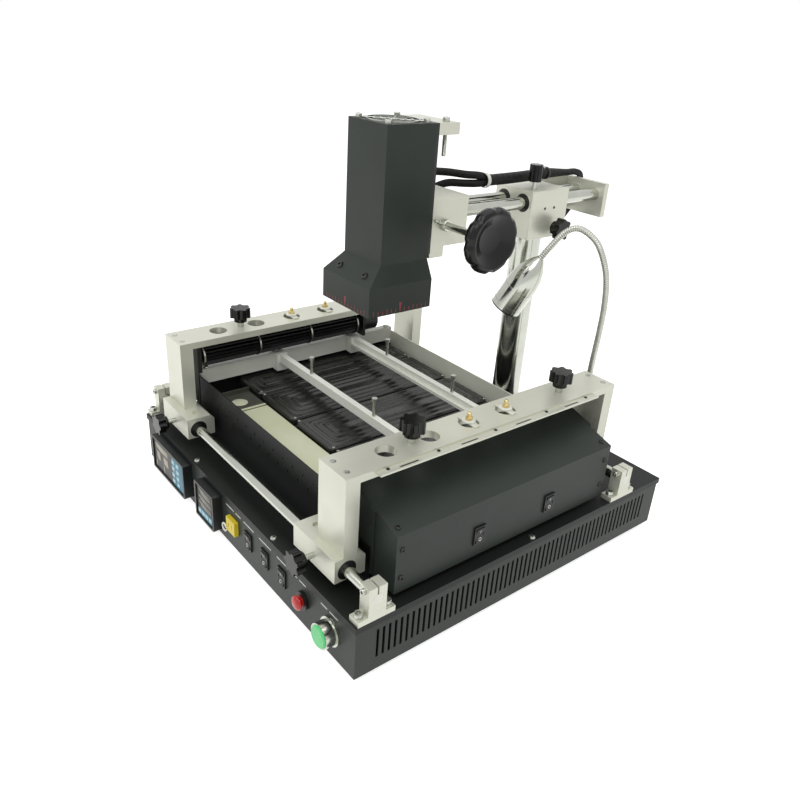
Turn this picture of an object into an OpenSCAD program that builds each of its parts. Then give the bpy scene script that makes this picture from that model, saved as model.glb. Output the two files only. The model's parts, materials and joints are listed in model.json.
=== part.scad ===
// Infrared rework station: base with heater tray, sliding carriages, cooling fans and a top heater on an arm.
// Millimetres, +Z up, X to the right, the front panel faces -Y.

/* [Base] */
// Width of the base across its top cover
base_w = 482; // [474:1:510]
// Depth of the base across its top cover
base_d = 459; // [456:1:490]
// Height of the base from its floor to the top of the cover
base_h = 64; // [62:1:80]
// Sheet thickness of the shell, tray and fan housing
sheet_t = 1.5; // [1:0.1:2]
// Thickness of the top cover
cover_t = 2; // [1.5:0.1:3]
// Height of the skirt folded down round the cover
skirt_h = 7; // [5:0.5:8]
// Diameter of a rubber foot
foot_d = 24; // [18:1:32]
// Height of a rubber foot
foot_h = 8; // [5:0.5:12]
// Distance from the base's sides to the middle of a foot
foot_inset = 32; // [24:1:60]
// Number of cooling slots in each side wall
vent_count = 58; // [30:1:60]
// Width of one cooling slot
vent_w = 3; // [2:0.1:3.5]
// Height of one cooling slot
vent_h = 34; // [20:1:38]

/* [Front panel] */
// Width of the large controller's bezel
large_bezel_w = 96; // [90:1:100]
// Width of the small controller's bezel
small_bezel_w = 48; // [44:1:52]
// Height of both controllers' bezels
bezel_h = 48; // [44:1:48]
// How far the controllers stand out of the panel
bezel_proud = 12; // [8:0.5:14]
// Diameter of the green push button
green_d = 24; // [20:0.5:26]
// How far the green button stands out of the panel
green_proud = 17; // [14:0.5:20]
// Diameter of the red push button
red_d = 12; // [9:0.5:14]

/* [Heater tray] */
// Gap between the outer heater plates and the tray's side walls
tray_margin = 4; // [2:0.5:8]
// Length of the ledge in front of the heater plates
ledge_l = 51.5; // [30:0.5:60]
// Height of the tray's walls above the cover
tray_h = 67; // [63:1:75]
// Diameter of the holes in the tray's front wall
perforation_d = 3; // [2:0.1:4]
// Width of one wide heater plate
plate_w = 80; // [70:0.5:90]
// Width of one narrow heater plate
narrow_plate_w = 60; // [50:0.5:70]
// Length of the heater plates
plate_l = 245; // [220:1:270]
// Height of the ridges on the heater plates
ridge_h = 1.5; // [0.5:0.1:2.5]
// Height of the aluminium side bars
bar_h = 20; // [16:0.5:24]

/* [Guides] */
// Diameter of the round guide shafts
shaft_d = 12; // [10:0.5:14]
// Height of the shafts' axes above the cover
shaft_rise = 23; // [21:0.5:26]
// Room between the tray and the front bearing blocks
front_block_gap = 7; // [4:0.5:12]
// Room between the tray and the rear bearing blocks
rear_block_gap = 9; // [4:0.5:14]

/* [Carriages] */
// Distance of the right carriage's blocks from the middle
right_x = 155.5; // [155:0.5:160]
// Distance of the left carriage's blocks from the middle
left_x = 164.5; // [160:0.5:180]
// Length of a bearing block along its shaft
block_l = 73; // [66:1:76]
// Width of the posts and beams
post_w = 44; // [40:1:46]
// Thickness of the posts
post_t = 16; // [12:1:20]
// Room between the board rails and the fan under the left beam
fan_gap = 2.7; // [1.5:0.1:8]
// Thickness of the beams
beam_t = 8; // [6:0.5:8]
// Diameter of the four round holes in a beam
beam_hole_d = 22; // [14:1:24]
// Diameter of the knobs on the beams and blocks
knob_d = 26; // [20:1:30]
// Diameter of the left fan's rotor
left_rotor_d = 32; // [28:0.5:36]
// Diameter of the right fan's rotor
right_rotor_d = 22; // [18:0.5:22]
// Number of blades on each fan rotor
blade_count = 20; // [12:1:24]

/* [Arm] */
// Diameter of the column
column_d = 38; // [34:1:40]
// Height of the arm block's top above the cover
arm_rise = 312; // [312:1:340]
// Diameter of the two arm shafts
arm_shaft_d = 15; // [12:0.5:15]
// Diameter of the handwheel
wheel_d = 70; // [60:1:76]
// Module of the rack and pinion
gear_module = 1; // [0.8:0.05:1.05]

/* [Head] */
// Side of the head's square fan, which sets the duct
head_fan_w = 60; // [50:1:64]
// Gap between the fan and the duct's side walls
fan_side_gap = 2; // [1:0.5:4]
// Side of the square top heater, which sets the hood
top_heater_w = 80; // [76:1:90]
// Gap between the top heater and the hood's side walls
heater_side_gap = 2.5; // [2.2:0.1:5]
// Height of the whole head
head_h = 193.5; // [180:0.5:210]

/* [Hidden] */
$fn = 48;

// Clearances
run_gap = 0.05;
seat_gap = 0.02;
slide_gap = 0.1;
part_gap = 0.3;
over = 1;

// Base levels and shell
base_top = foot_h + base_h;
skirt_t = 1.2;
shell_w = base_w - 2 * (skirt_t + part_gap);
shell_d = base_d - 2 * (skirt_t + part_gap);
panel_y = -shell_d / 2;
panel_z = foot_h + base_h / 2;
vent_margin = 22;
vent_pitch = (shell_d - 2 * vent_margin) / vent_count;

// Front panel places, from left to right
large_inset = 88.5;
green_inset = 39;
red_share = 0.45;
large_x = -base_w / 2 + large_inset;
small_x = -49;
socket_x = 3.5;
rocker_xs = [38, 74.4, 110];
green_x = base_w / 2 - green_inset;
red_x = rocker_xs[2] + red_share * (green_x - rocker_xs[2]);
bezel_fit = 1.5;
controller_depth = 70;
socket_size = [20, 5, 18];
rocker_w = 10.5;
rocker_r = 8.7;
rocker_gap = 0.25;
rocker_frame = [15, 2, 21];
rocker_tub_t = 1;
rocker_tub_depth = 9;
rocker_dip = 1.4;
rocker_rise = 3.6;
red_ring_t = 3;
red_ring_proud = 3.5;
red_proud = 6;
red_travel = 3;
green_ring_t = 1.5;
green_ring_proud = 3.5;
green_sleeve_proud = 15;
green_travel = 5;
button_tail = 14;
inlet_size = [27, 20];
inlet_depth = 24;
inlet_inset = 91;
inlet_x = -base_w / 2 + inlet_inset;

// Tray, bars, plates and rails
shaft_inset = 23.5;
block_front = 14;
block_rear = 21;
plate_gap = 3;
plate_rear_gap = 8.5;
shaft_front_y = -base_d / 2 + shaft_inset;
tray_front = shaft_front_y + block_rear + front_block_gap;
tray_d = ledge_l + plate_gap + plate_l + plate_rear_gap;
tray_rear = tray_front + tray_d;
shaft_rear_y = tray_rear + rear_block_gap + block_front;
plate_pitch = plate_w + plate_gap;
narrow_x = plate_pitch + (plate_w + plate_gap + narrow_plate_w) / 2;
tray_w = 2 * (narrow_x + narrow_plate_w / 2 + tray_margin + sheet_t);
tray_top = base_top + tray_h;
bar_w = 10.5;
bar_over = 9;
bar_top = tray_top + bar_over;
bar_in = tray_w / 2 - sheet_t - bar_w;
plate_t = 9;
plate_drop = 5;
plate_top = bar_top - bar_h - plate_drop;
plate_front = tray_front + ledge_l + plate_gap;
plate_y = plate_front + plate_l / 2;
plate_corner_r = 8;
plate_rim = 3;
ridge_r = 5;
ridge_pitch = 9.5;
ridge_inset = 12;
ridge_slant = 14;
carrier_t = 3;
ledge_rear = tray_front + ledge_l;
ledge_drop = 4;
ledge_z = plate_top - ledge_drop;
bracket_hole_d = 20;
rail_w = 8;
rail_ledge_w = 5;
rail_ledge_h = 4;
rail_h = 11;
rail_plate_t = 2;
rail_end_l = 12;
rail_end_w = 16;
rail_end_h = 23;
rail_top = bar_top + rail_plate_t + part_gap;
front_rail_in = 57.5;
rear_rail_in = 67.5;
front_rail_y = plate_front + front_rail_in;
rear_rail_y = plate_front + plate_l - rear_rail_in;
rail_pin_xs = [-93, 40];
rail_pin_d = 4;
rail_pin_h = 23;
rail_pin_head_d = 6.5;
rail_pin_head_h = 4;

// Guides
shaft_z = base_top + shaft_rise;
support_l = 14;
support_w = 42;
support_foot_t = 6;
support_clamp_w = 20;
support_over = 14.5;
support_slit = 1.5;
support_hole_d = 5.5;
support_hole_span = 32;

// Carriage blocks, posts and beams, in a frame whose +X points outwards
block_below = 11;
block_above = 15;
block_chamfer = 5;
block_top = shaft_z + block_above;
bearing_wall = 4.5;
bearing_l = 28;
bearing_d = shaft_d + 2 * bearing_wall;
post_in = block_l / 2 - post_w;
front_post_in = 9.5;
rear_post_in = 7;
front_post_y = shaft_front_y - block_front + front_post_in;
rear_post_y = shaft_rear_y + block_rear - rear_post_in - post_t;
beam_x = block_l / 2 - post_w / 2;
casing_t = 1.5;
rotor_gap = 1.5;
left_fan_r = left_rotor_d / 2 + rotor_gap;
left_fan_z = rail_top + fan_gap + left_rotor_d / 2;
beam_bottom = left_fan_z + left_fan_r + casing_t;
beam_top = beam_bottom + beam_t;
beam_l = rear_post_y + post_t - front_post_y;
beam_hole_in = 60.5;
beam_hole_y = front_post_y + beam_hole_in;
beam_hole_pitch = 53;
front_knob_in = 91.5;
rear_knob_in = 57;
knob_ys = [front_post_y + front_knob_in, rear_post_y - rear_knob_in];
knob_h = 18;
knob_stud_d = 8;
knob_stud_l = 7;
lock_stud_d = 6;
lock_stud_l = 11.5;
lock_knob_h = 13.5;
lock_hole_l = 3;
strip_w = 8;
strip_t = 2;
strip_slit = [2, 22];
screw_hole_d = 5;

// Left fan, hung under the beam
left_fan_in = 33;
left_fan_front = front_post_y + left_fan_in;
left_segment = 78;
left_segments = 3;
left_fan_rear = left_fan_front + left_segments * left_segment;
casing_from = 8;
end_plate_t = 4;
end_plate_gap = 5;
fan_stub_d = 6;
motor_d = 30;
motor_l = 28;
blade_t = 1.2;
ring_t = 2;
hub_wall = 3;

// Right fan, in a housing outside the beam
slab_gap = 5;
slab_w = 34;
slab_in = tray_w / 2 + slab_gap - right_x;
slab_out = slab_in + slab_w;
housing_front = tray_front;
housing_end_gap = 4;
housing_lift = 6;
housing_rear = shaft_rear_y - support_w / 2 - housing_end_gap;
housing_bottom = base_top + housing_lift;
housing_side_h = 66;
housing_lip_x = -3.5;
housing_lip_z = bar_top + 2;
housing_lip_h = 17;
housing_wall_top = housing_lip_z - 4;
housing_side_top = housing_bottom + housing_side_h;
right_fan_x = slab_in + sheet_t + 1 + right_rotor_d / 2;
right_fan_z = housing_bottom + housing_side_h / 2;
right_motor_l = 22;
right_motor_d = 20;
right_boss_d = 14;
right_boss_l = 8;
hanger_w = 16;
hanger_t = 2;
switch_in = [106, 209];
switch_rise = 26;
switch_ys = [for (s = switch_in) housing_front + s];
switch_z = housing_bottom + switch_rise;

// Column and arm
column_setback = 44;
column_y = shaft_rear_y + column_setback;
column_wall = 3;
flange_d = 60;
flange_h = 12;
arm_top = base_top + arm_rise;
arm_w = 63;
arm_d = 66;
arm_h = 58;
arm_front = column_y - arm_d / 2;
arm_rear = arm_front + arm_d;
arm_bottom = arm_top - arm_h;
arm_shaft_x = 16;
arm_shaft_drop = 15.5;
arm_shaft_z = arm_top - arm_shaft_drop;
bush_wall = 3.5;
bush_d = arm_shaft_d + 2 * bush_wall;
bush_l = 25;
column_top = arm_shaft_z - bush_d / 2 - 4.5;
gland_d = 22;
gland_l = 12;
gland_z = arm_bottom + 14;
arm_overhang = 70;
end_plate_front = arm_rear + arm_overhang;
arm_plate_t = 8;
arm_plate_h = 43;
side_plate_t = 5;
side_plate_gap = 1;
side_plate_l = 78;
column_knob_y = column_y + 8;
column_knob_z = arm_bottom + 13;
arm_knob_x = 20;
arm_knob_y = arm_front + 12;
arm_knob_d = 16;
arm_knob_h = 20;
arm_knob_stud = 10;

// Head slide: housing, T-rail, rack and pinion
housing_w = 64;
arm_reach = 158;
housing_y0 = arm_front - arm_reach;
housing_d = 52;
housing_h = 53.5;
housing_over = 5.5;
housing_top = arm_top + housing_over;
housing_z0 = housing_top - housing_h;
housing_lip = [housing_w, 20, 12];
back_y = housing_y0 - 0.5;
back_t = 3.5;
web_w = 16;
web_d = 4;
tee_w = 28;
tee_d = 5.5;
tee_y = back_y + web_d;
rack_y = tee_y + tee_d;
rack_w = 12;
pinion_teeth = 16;
pinion_r = gear_module * pinion_teeth / 2;
pinion_l = 20;
pinion_y = rack_y + 1.25 * gear_module + pinion_r;
pinion_rise = 24;
pinion_z = housing_z0 + pinion_rise;
pinion_shaft_d = 8;
pressure = 20;
backlash = 0.16 * gear_module;
wheel_x = 78;
wheel_hub_d = 30;
wheel_hub_l = 10;
wheel_t = 25;
wheel_lobes = 7;
wheel_scallop_d = 36;
wheel_scallop_depth = 3.5;
wheel_rim_t = 6;
wheel_dish_h = 12;
wheel_socket_l = 8;
shaft_socket_l = 22;

// Head
fan_end_gap = 0.5;
heater_end_gap = 1;
duct_w = head_fan_w + 2 * (sheet_t + fan_side_gap);
duct_d = head_fan_w + 2 * (sheet_t + fan_end_gap);
hood_w = top_heater_w + 2 * (sheet_t + heater_side_gap);
hood_d = top_heater_w + 2 * (sheet_t + heater_end_gap);
head_over = 77;
head_top = housing_top + head_over;
head_rear = back_y - back_t;
head_front = head_rear - duct_d;
hood_front = head_rear - hood_d;
head_bottom = head_top - head_h;
hood_h = 32;
flare_h = 20;
guide_under = 6;
guide_bottom = housing_z0 - guide_under;
top_plate_t = 12;
top_plate_d = 28;
stop_rod_d = 5;
stop_rod_l = 32;
fan_y = head_rear - duct_d / 2;
head_fan_h = 15;
head_fan_hub_d = 26;
head_fan_bore = head_fan_w - 3;
head_fan_z = head_top - sheet_t - head_fan_h;
guard_wire = 1.5;
guard_rings = 4;
heater_t = 12;

// Lamp: route of the neck, and the lamp head at its end
lamp_foot = [127, 205, base_top];
lamp_nut_d = 18;
lamp_nut_h = 12;
neck_d = 8;
neck_route = [
    [127, 205, 84], [127, 205, 110], [128, 205, 150], [129, 205, 190], [131, 205, 235], [132, 203, 272],
    [129, 199, 306], [120, 190, 336], [108, 182, 350], [94, 176, 354], [82, 169, 346],
    [72, 160, 328], [64, 154, 312]
];
lamp_tip = [36, 135, 246];
lamp_d = 31;
lamp_back_d = 14;

// Head cable: two strands leave the head's left side, join at a tie and run as one bundle to a gland
cable_d = 14;
strand_d = 9;
head_gland_d = 15;
head_gland_l = 6;
head_gland_in = 16;
head_gland_y = head_rear - head_gland_in;
head_gland_drops = [60.5, 116.5];
head_gland_zs = [for (drop = head_gland_drops) head_top - drop];
upper_strand = [
    [-34, -14, 406], [-42, -14, 406], [-51, -11, 406], [-57, -5, 406], [-60, 5, 405],
    [-59, 22, 404], [-54, 42, 403], [-44, 62, 402], [-30, 80, 402], [-15, 94, 401], [-5, 105, 401], [0, 119, 398]
];
lower_strand = [
    [-34, -14, 350], [-42, -14, 350], [-51, -11, 350], [-57, -5, 351], [-60, 5, 352],
    [-59, 22, 356], [-54, 42, 362], [-44, 62, 370], [-30, 80, 379], [-15, 94, 387], [-5, 105, 391], [0, 119, 394]
];
bundle_route = [
    [0, 112, 396], [0, 135, 396], [0, 165, 396], [0, 195, 396], [1, 225, 396], [2, 255, 396], [4, 280, 396],
    [6, 302, 393], [8, 320, 386], [8, 334, 370], [8, 338, 350], [7, 333, 332], [6, 318, 319],
    [4, 296, 315], [2, 274, 322], [0, 256, 335], [0, 242, 340], [0, 232, 340], [0, 222, 340]
];

// Middle of the whole object, front to back, where the origin lies
lock_reach = shaft_front_y - block_front - lock_stud_l - lock_knob_h;
front_reach = min(panel_y - green_proud, lock_reach);
rear_reach = max([for (p = bundle_route) p.y]) + cable_d / 2;
origin_y = (front_reach + rear_reach) / 2;

// Colours
charcoal = "#3a3f41";
black = "#1b1b1c";
cream = "#d8d9c8";
alloy = "#cfd0c6";
steel = "#b9bbb8";

// Shared shapes

// Box from its lowest corner
module block(at, size) {
    translate(at) cube(size);
}

// Box that is centred on X, standing at a given y and z
module centred(w, at_y, at_z, d, h) {
    translate([-w / 2, at_y, at_z]) cube([w, d, h]);
}

// Outline of a rectangle with round corners, centred
module round_rect(size, r) {
    square([size.x - 2 * r, size.y], center = true);
    square([size.x, size.y - 2 * r], center = true);
    for (sx = [-1, 1], sy = [-1, 1])
        translate([sx * (size.x / 2 - r), sy * (size.y / 2 - r)]) circle(r);
}

// Cylinder along X, Y or Z from a start point
module rod_x(at, d, l) {
    translate(at) rotate([0, 90, 0]) cylinder(d = d, h = l);
}
module rod_y(at, d, l) {
    translate(at) rotate([-90, 0, 0]) cylinder(d = d, h = l);
}
module rod_z(at, d, l) {
    translate(at) cylinder(d = d, h = l);
}

// Extrude an outline drawn in X and Z along Y, from y0 over a depth
module along_y(y0, depth) {
    translate([0, y0 + depth, 0]) rotate([90, 0, 0]) linear_extrude(depth) children();
}

// Extrude an outline drawn in Y and Z along X, from x0 over a length
module along_x(x0, length) {
    translate([x0, 0, 0]) rotate([90, 0, 90]) linear_extrude(length) children();
}

// Outline of a lobed grip: a disc with round scallops of a given depth
module lobed(d, lobes, scallop_d, depth) {
    difference() {
        circle(d = d);
        for (i = [0 : lobes - 1])
            rotate(360 * i / lobes) translate([(d + scallop_d) / 2 - depth, 0]) circle(d = scallop_d);
    }
}

// Knob on a stud: the stud's end at the origin, the knob further up +Z
module knob(d, h, stud_d, stud_l, sunk) {
    translate([0, 0, -sunk]) cylinder(d = stud_d, h = sunk + stud_l + over);
    translate([0, 0, stud_l]) cylinder(d = d * 0.62, h = h * 0.3);
    translate([0, 0, stud_l + h * 0.3]) linear_extrude(h * 0.7) lobed(d, 7, d * 0.34, d * 0.11);
}

// Points on a smooth curve through a route
function curve(a, b, c, d, t) =
    0.5 * (2 * b + (c - a) * t + (2 * a - 5 * b + 4 * c - d) * t * t + (3 * b - a - 3 * c + d) * t * t * t);
function smooth(p, n) = concat(
    [for (i = [0 : len(p) - 2], k = [0 : n - 1])
        curve(p[max(i - 1, 0)], p[i], p[i + 1], p[min(i + 2, len(p) - 1)], k / n)],
    [p[len(p) - 1]]
);
function unit(v) = v / norm(v);
function tangent(p, i) = unit(p[min(i + 1, len(p) - 1)] - p[max(i - 1, 0)]);

// Tube swept along a route; the rings keep one side square to a fixed direction
module swept_tube(route, d, facing, sides, steps) {
    path = smooth(route, steps);
    count = len(path);
    points = [for (i = [0 : count - 1])
        let (t = tangent(path, i), u = unit(cross(t, facing)), v = cross(u, t))
        for (k = [0 : sides - 1]) path[i] + d / 2 * (cos(360 * k / sides) * u + sin(360 * k / sides) * v)];
    walls = [for (i = [0 : count - 2], k = [0 : sides - 1])
        let (n = (k + 1) % sides)
        [i * sides + k, i * sides + n, (i + 1) * sides + n, (i + 1) * sides + k]];
    first = [for (k = [sides - 1 : -1 : 0]) k];
    last = [for (k = [0 : sides - 1]) (count - 1) * sides + k];
    polyhedron(points, concat([first], walls, [last]));
}

// Base

module base_shell() {
    inner_w = shell_w - 2 * sheet_t;
    inner_d = shell_d - 2 * sheet_t;
    wall_h = base_h - cover_t;
    color(charcoal) difference() {
        centred(shell_w, -shell_d / 2, foot_h, shell_d, wall_h);
        centred(inner_w, -inner_d / 2, foot_h + sheet_t, inner_d, wall_h);
        for (i = [0 : vent_count - 1])
            centred(base_w, -shell_d / 2 + vent_margin + (i + 0.5) * vent_pitch - vent_w / 2,
                panel_z - vent_h / 2, vent_w, vent_h);
        panel_cut(large_x, large_bezel_w - 2 * bezel_fit, bezel_h - 2 * bezel_fit);
        panel_cut(small_x, small_bezel_w - 2 * bezel_fit, bezel_h - 2 * bezel_fit);
        panel_cut(socket_x, socket_size.x - 4, socket_size.z - 4);
        for (x = rocker_xs)
            panel_cut(x, rocker_cut().x, rocker_cut().y);
        rod_y([red_x, panel_y - over, panel_z], red_d + 2 * red_ring_t, sheet_t + 2 * over);
        rod_y([green_x, panel_y - over, panel_z], green_d + 2 * green_ring_t, sheet_t + 2 * over);
        translate([inlet_x - inlet_size.x / 2, shell_d / 2 - 2 * sheet_t, panel_z - inlet_size.y / 2])
            cube([inlet_size.x, 4 * sheet_t, inlet_size.y]);
    }
}

// Opening in the front panel, with room for what fits in it
module panel_cut(x, w, h) {
    translate([x - w / 2 - part_gap, panel_y - over, panel_z - h / 2 - part_gap])
        cube([w + 2 * part_gap, sheet_t + 2 * over, h + 2 * part_gap]);
}

module top_cover() {
    inner_w = base_w - 2 * skirt_t;
    inner_d = base_d - 2 * skirt_t;
    rim = 24;
    color(charcoal) difference() {
        centred(base_w, -base_d / 2, base_top - skirt_h, base_d, skirt_h);
        centred(inner_w, -inner_d / 2, base_top - skirt_h - over, inner_d, skirt_h - cover_t + over);
        centred(tray_w - 2 * rim, tray_front + rim, base_top - 2 * cover_t, tray_d - 2 * rim, 4 * cover_t);
    }
}

module rubber_feet() {
    color(black)
        for (sx = [-1, 1], sy = [-1, 1])
            translate([sx * (base_w / 2 - foot_inset), sy * (base_d / 2 - foot_inset), 0]) difference() {
                cylinder(d1 = foot_d - 4, d2 = foot_d, h = foot_h);
                translate([0, 0, -over]) cylinder(d = foot_d / 3, h = foot_h / 2 + over);
            }
}

module power_unit() {
    floor_z = foot_h + sheet_t;
    board = [150, 90, 1.6];
    board_z = floor_z + 10;
    board_x = -95;
    relay = [45, 60, 24];
    flange = [33, 3, 26];
    color("#2f5a3a") {
        block([board_x, 40, board_z], board);
        for (sx = [8, board.x - 8], sy = [8, board.y - 8])
            rod_z([board_x + sx, 40 + sy, floor_z], 6, board_z - floor_z);
        for (i = [0 : 2])
            block([70, -40 + i * (relay.y + 6), floor_z], relay);
        block([board_x + 20, 60, board_z + board.z], [40, 34, 20]);
    }
    color(black) difference() {
        union() {
            block([inlet_x - flange.x / 2, shell_d / 2, panel_z - flange.z / 2], flange);
            block([inlet_x - inlet_size.x / 2 + part_gap, shell_d / 2 - inlet_depth,
                panel_z - inlet_size.y / 2 + part_gap],
                [inlet_size.x - 2 * part_gap, inlet_depth, inlet_size.y - 2 * part_gap]);
        }
        block([inlet_x - 11, shell_d / 2 - 14, panel_z - 7.5], [22, 14 + flange.y + over, 15]);
    }
}

// Panel meter: bezel with a sunk face, keys and a body behind the panel
module controller(x, w, key_xs, key_zs) {
    frame_t = 3;
    face_sink = 1.5;
    key = [7, 5];
    face_y = panel_y - bezel_proud + face_sink;
    difference() {
        union() {
            translate([x, panel_y, panel_z]) rotate([90, 0, 0])
                linear_extrude(bezel_proud) round_rect([w, bezel_h], 3);
            translate([x - w / 2 + bezel_fit, panel_y, panel_z - bezel_h / 2 + bezel_fit])
                cube([w - 2 * bezel_fit, controller_depth, bezel_h - 2 * bezel_fit]);
        }
        translate([x - w / 2 + frame_t, face_y - face_sink - over, panel_z - bezel_h / 2 + frame_t])
            cube([w - 2 * frame_t, face_sink + over, bezel_h - 2 * frame_t]);
    }
    for (kx = key_xs, kz = key_zs)
        translate([x + kx - key.x / 2, face_y - 0.8, panel_z + kz - key.y / 2])
            cube([key.x, 0.8 + seat_gap, key.y]);
}

module large_controller() {
    color("#4a4f52") controller(large_x, large_bezel_w, [16, 29], [-13.5 : 9 : 13.5]);
}

module small_controller() {
    color("#4a4f52") controller(small_x, small_bezel_w, [-13.5 : 9 : 13.5], [-14]);
}

module thermocouple_socket() {
    color("#d9b12a") difference() {
        union() {
            translate([socket_x, panel_y - socket_size.y / 2, panel_z])
                cube(socket_size, center = true);
            translate([socket_x - socket_size.x / 2 + 2, panel_y, panel_z - socket_size.z / 2 + 2])
                cube([socket_size.x - 4, 18, socket_size.z - 4]);
        }
        for (sx = [-4, 4])
            translate([socket_x + sx - 0.6, panel_y - socket_size.y - over, panel_z - 3])
                cube([1.2, 12, 6]);
    }
}

// Opening that a rocker's tub fills: width and height
function rocker_cut() = [
    rocker_w + 2 * (rocker_gap + rocker_tub_t),
    2 * (rocker_r + rocker_gap + rocker_tub_t)
];

// Frame and tub of a rocker switch: the panel's face at y 0, outwards is -Y
module rocker_bezel() {
    cut = rocker_cut();
    pocket = [rocker_w + 2 * rocker_gap, 2 * (rocker_r + rocker_gap)];
    difference() {
        union() {
            translate([-rocker_frame.x / 2, -rocker_frame.y, -rocker_frame.z / 2]) cube(rocker_frame);
            translate([-cut.x / 2, -over, -cut.y / 2]) cube([cut.x, rocker_tub_depth + over, cut.y]);
        }
        translate([-pocket.x / 2, -rocker_frame.y - over, -pocket.y / 2])
            cube([pocket.x, rocker_frame.y + over + rocker_tub_depth - 2, pocket.y]);
    }
}

// Rocker that tips about X, with a dished face
module rocker() {
    along_x(-rocker_w / 2, rocker_w) intersection() {
        circle(rocker_r);
        polygon([[5, -10], [-rocker_rise, -10], [-rocker_dip, 0], [-rocker_rise, 10], [5, 10]]);
    }
}

// Round bezel with a bore for a push button: a flange on the panel and a sleeve round the button
module ring_bezel(x, d, wall, proud, lip, sleeve) {
    translate([x, panel_y, panel_z]) rotate([90, 0, 0]) difference() {
        union() {
            cylinder(d = d + 2 * wall + 2 * lip, h = proud);
            cylinder(d = d + 2 * wall, h = sleeve);
            translate([0, 0, -sheet_t - 6]) cylinder(d = d + 2 * wall - 2 * part_gap, h = sheet_t + 6 + over);
        }
        translate([0, 0, -sheet_t - 6 - over])
            cylinder(d = d + 2 * run_gap, h = sheet_t + 6 + sleeve + 2 * over);
    }
}

module panel_bezels() {
    color(black) {
        for (x = rocker_xs)
            translate([x, panel_y, panel_z]) rocker_bezel();
        ring_bezel(red_x, red_d, red_ring_t, red_ring_proud, 1, red_ring_proud);
    }
    color(steel) ring_bezel(green_x, green_d, green_ring_t, green_ring_proud, 2, green_sleeve_proud);
}

module panel_rocker(i) {
    color(black) translate([rocker_xs[i], panel_y, panel_z]) rocker();
}

// Push button with a rounded edge, pressed along +Y
module push_button(x, d, proud) {
    edge = 1.5;
    translate([x, panel_y, panel_z]) rotate([90, 0, 0]) {
        translate([0, 0, -button_tail]) cylinder(d = d, h = button_tail + proud - edge);
        translate([0, 0, proud - edge]) cylinder(d1 = d, d2 = d - 2 * edge, h = edge);
    }
}

module red_button() {
    color("#b3222a") push_button(red_x, red_d, red_proud);
}

module green_button() {
    color("#3f9a4c") push_button(green_x, green_d, green_proud);
}

// Heater tray

module heater_tray() {
    rows = [16, 27];
    pitch = 21;
    holes = floor((tray_w - 40) / pitch);
    color(charcoal) {
        difference() {
            centred(tray_w, tray_front + sheet_t, base_top, tray_d - sheet_t, tray_h);
            centred(tray_w - 2 * sheet_t, tray_front, base_top - over, tray_d - sheet_t, tray_h + 2 * over);
        }
        along_y(tray_front, sheet_t) difference() {
            translate([-tray_w / 2, base_top]) square([tray_w, tray_h]);
            for (i = [0 : holes - 1], row = [0, 1])
                translate([(i - holes / 2 + 0.25 + row / 2) * pitch, tray_top - rows[row]])
                    circle(d = perforation_d, $fn = 24);
        }
    }
}

module tray_liner() {
    inner_w = tray_w - 2 * sheet_t;
    inner_front = tray_front + sheet_t;
    bracket_x = -148;
    bracket_w = 47;
    ledge_x = bracket_x + bracket_w + 1;
    upstand = 6;
    color(cream) {
        block([ledge_x, inner_front, ledge_z - sheet_t],
            [inner_w / 2 - ledge_x, ledge_rear - inner_front, sheet_t]);
        centred(2 * bar_in, tray_rear - 2 * sheet_t, plate_top - plate_t,
            sheet_t, tray_top + 3 - plate_top + plate_t);
        for (y = [plate_y - plate_l / 3, plate_y + plate_l / 3])
            centred(inner_w, y - 10, plate_top - plate_t - carrier_t, 20, carrier_t);
    }
    color(steel) {
        difference() {
            block([bracket_x, inner_front, ledge_z - sheet_t],
                [bracket_w, ledge_rear - inner_front, sheet_t]);
            rod_z([bracket_x + bracket_w / 2, (inner_front + ledge_rear) / 2, ledge_z - sheet_t - over],
                bracket_hole_d, sheet_t + 2 * over);
        }
        block([bracket_x, inner_front, ledge_z], [sheet_t, ledge_rear - inner_front, upstand]);
    }
}

module side_bars() {
    color(alloy)
        for (side = [-1, 1])
            translate([side * (bar_in + bar_w / 2), 0, 0])
                centred(bar_w, tray_front + sheet_t, bar_top - bar_h, tray_d - 3 * sheet_t, bar_h);
}

// Ceramic plate with a raised rim round a field of low round ridges, whose ends lie on a slanting line
module heater_plate(w, l) {
    ridges = floor((w - 2 * ridge_inset) / ridge_pitch);
    translate([0, 0, -plate_t]) linear_extrude(plate_t) round_rect([w, l], plate_corner_r);
    linear_extrude(ridge_h / 2) difference() {
        round_rect([w, l], plate_corner_r);
        round_rect([w - 2 * plate_rim, l - 2 * plate_rim], plate_corner_r - plate_rim);
    }
    for (i = [0 : ridges])
        rod_y([(i - ridges / 2) * ridge_pitch, ridge_inset + ridge_slant * (1 - i / ridges) - l / 2,
            ridge_h - ridge_r], 2 * ridge_r, l - 2 * ridge_inset - ridge_slant);
}

module heater_plates() {
    color("#262627") {
        for (i = [-1 : 1])
            translate([i * plate_pitch, plate_y, plate_top]) heater_plate(plate_w, plate_l);
        for (side = [-1, 1])
            translate([side * narrow_x, plate_y, plate_top]) heater_plate(narrow_plate_w, plate_l);
    }
}

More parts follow.
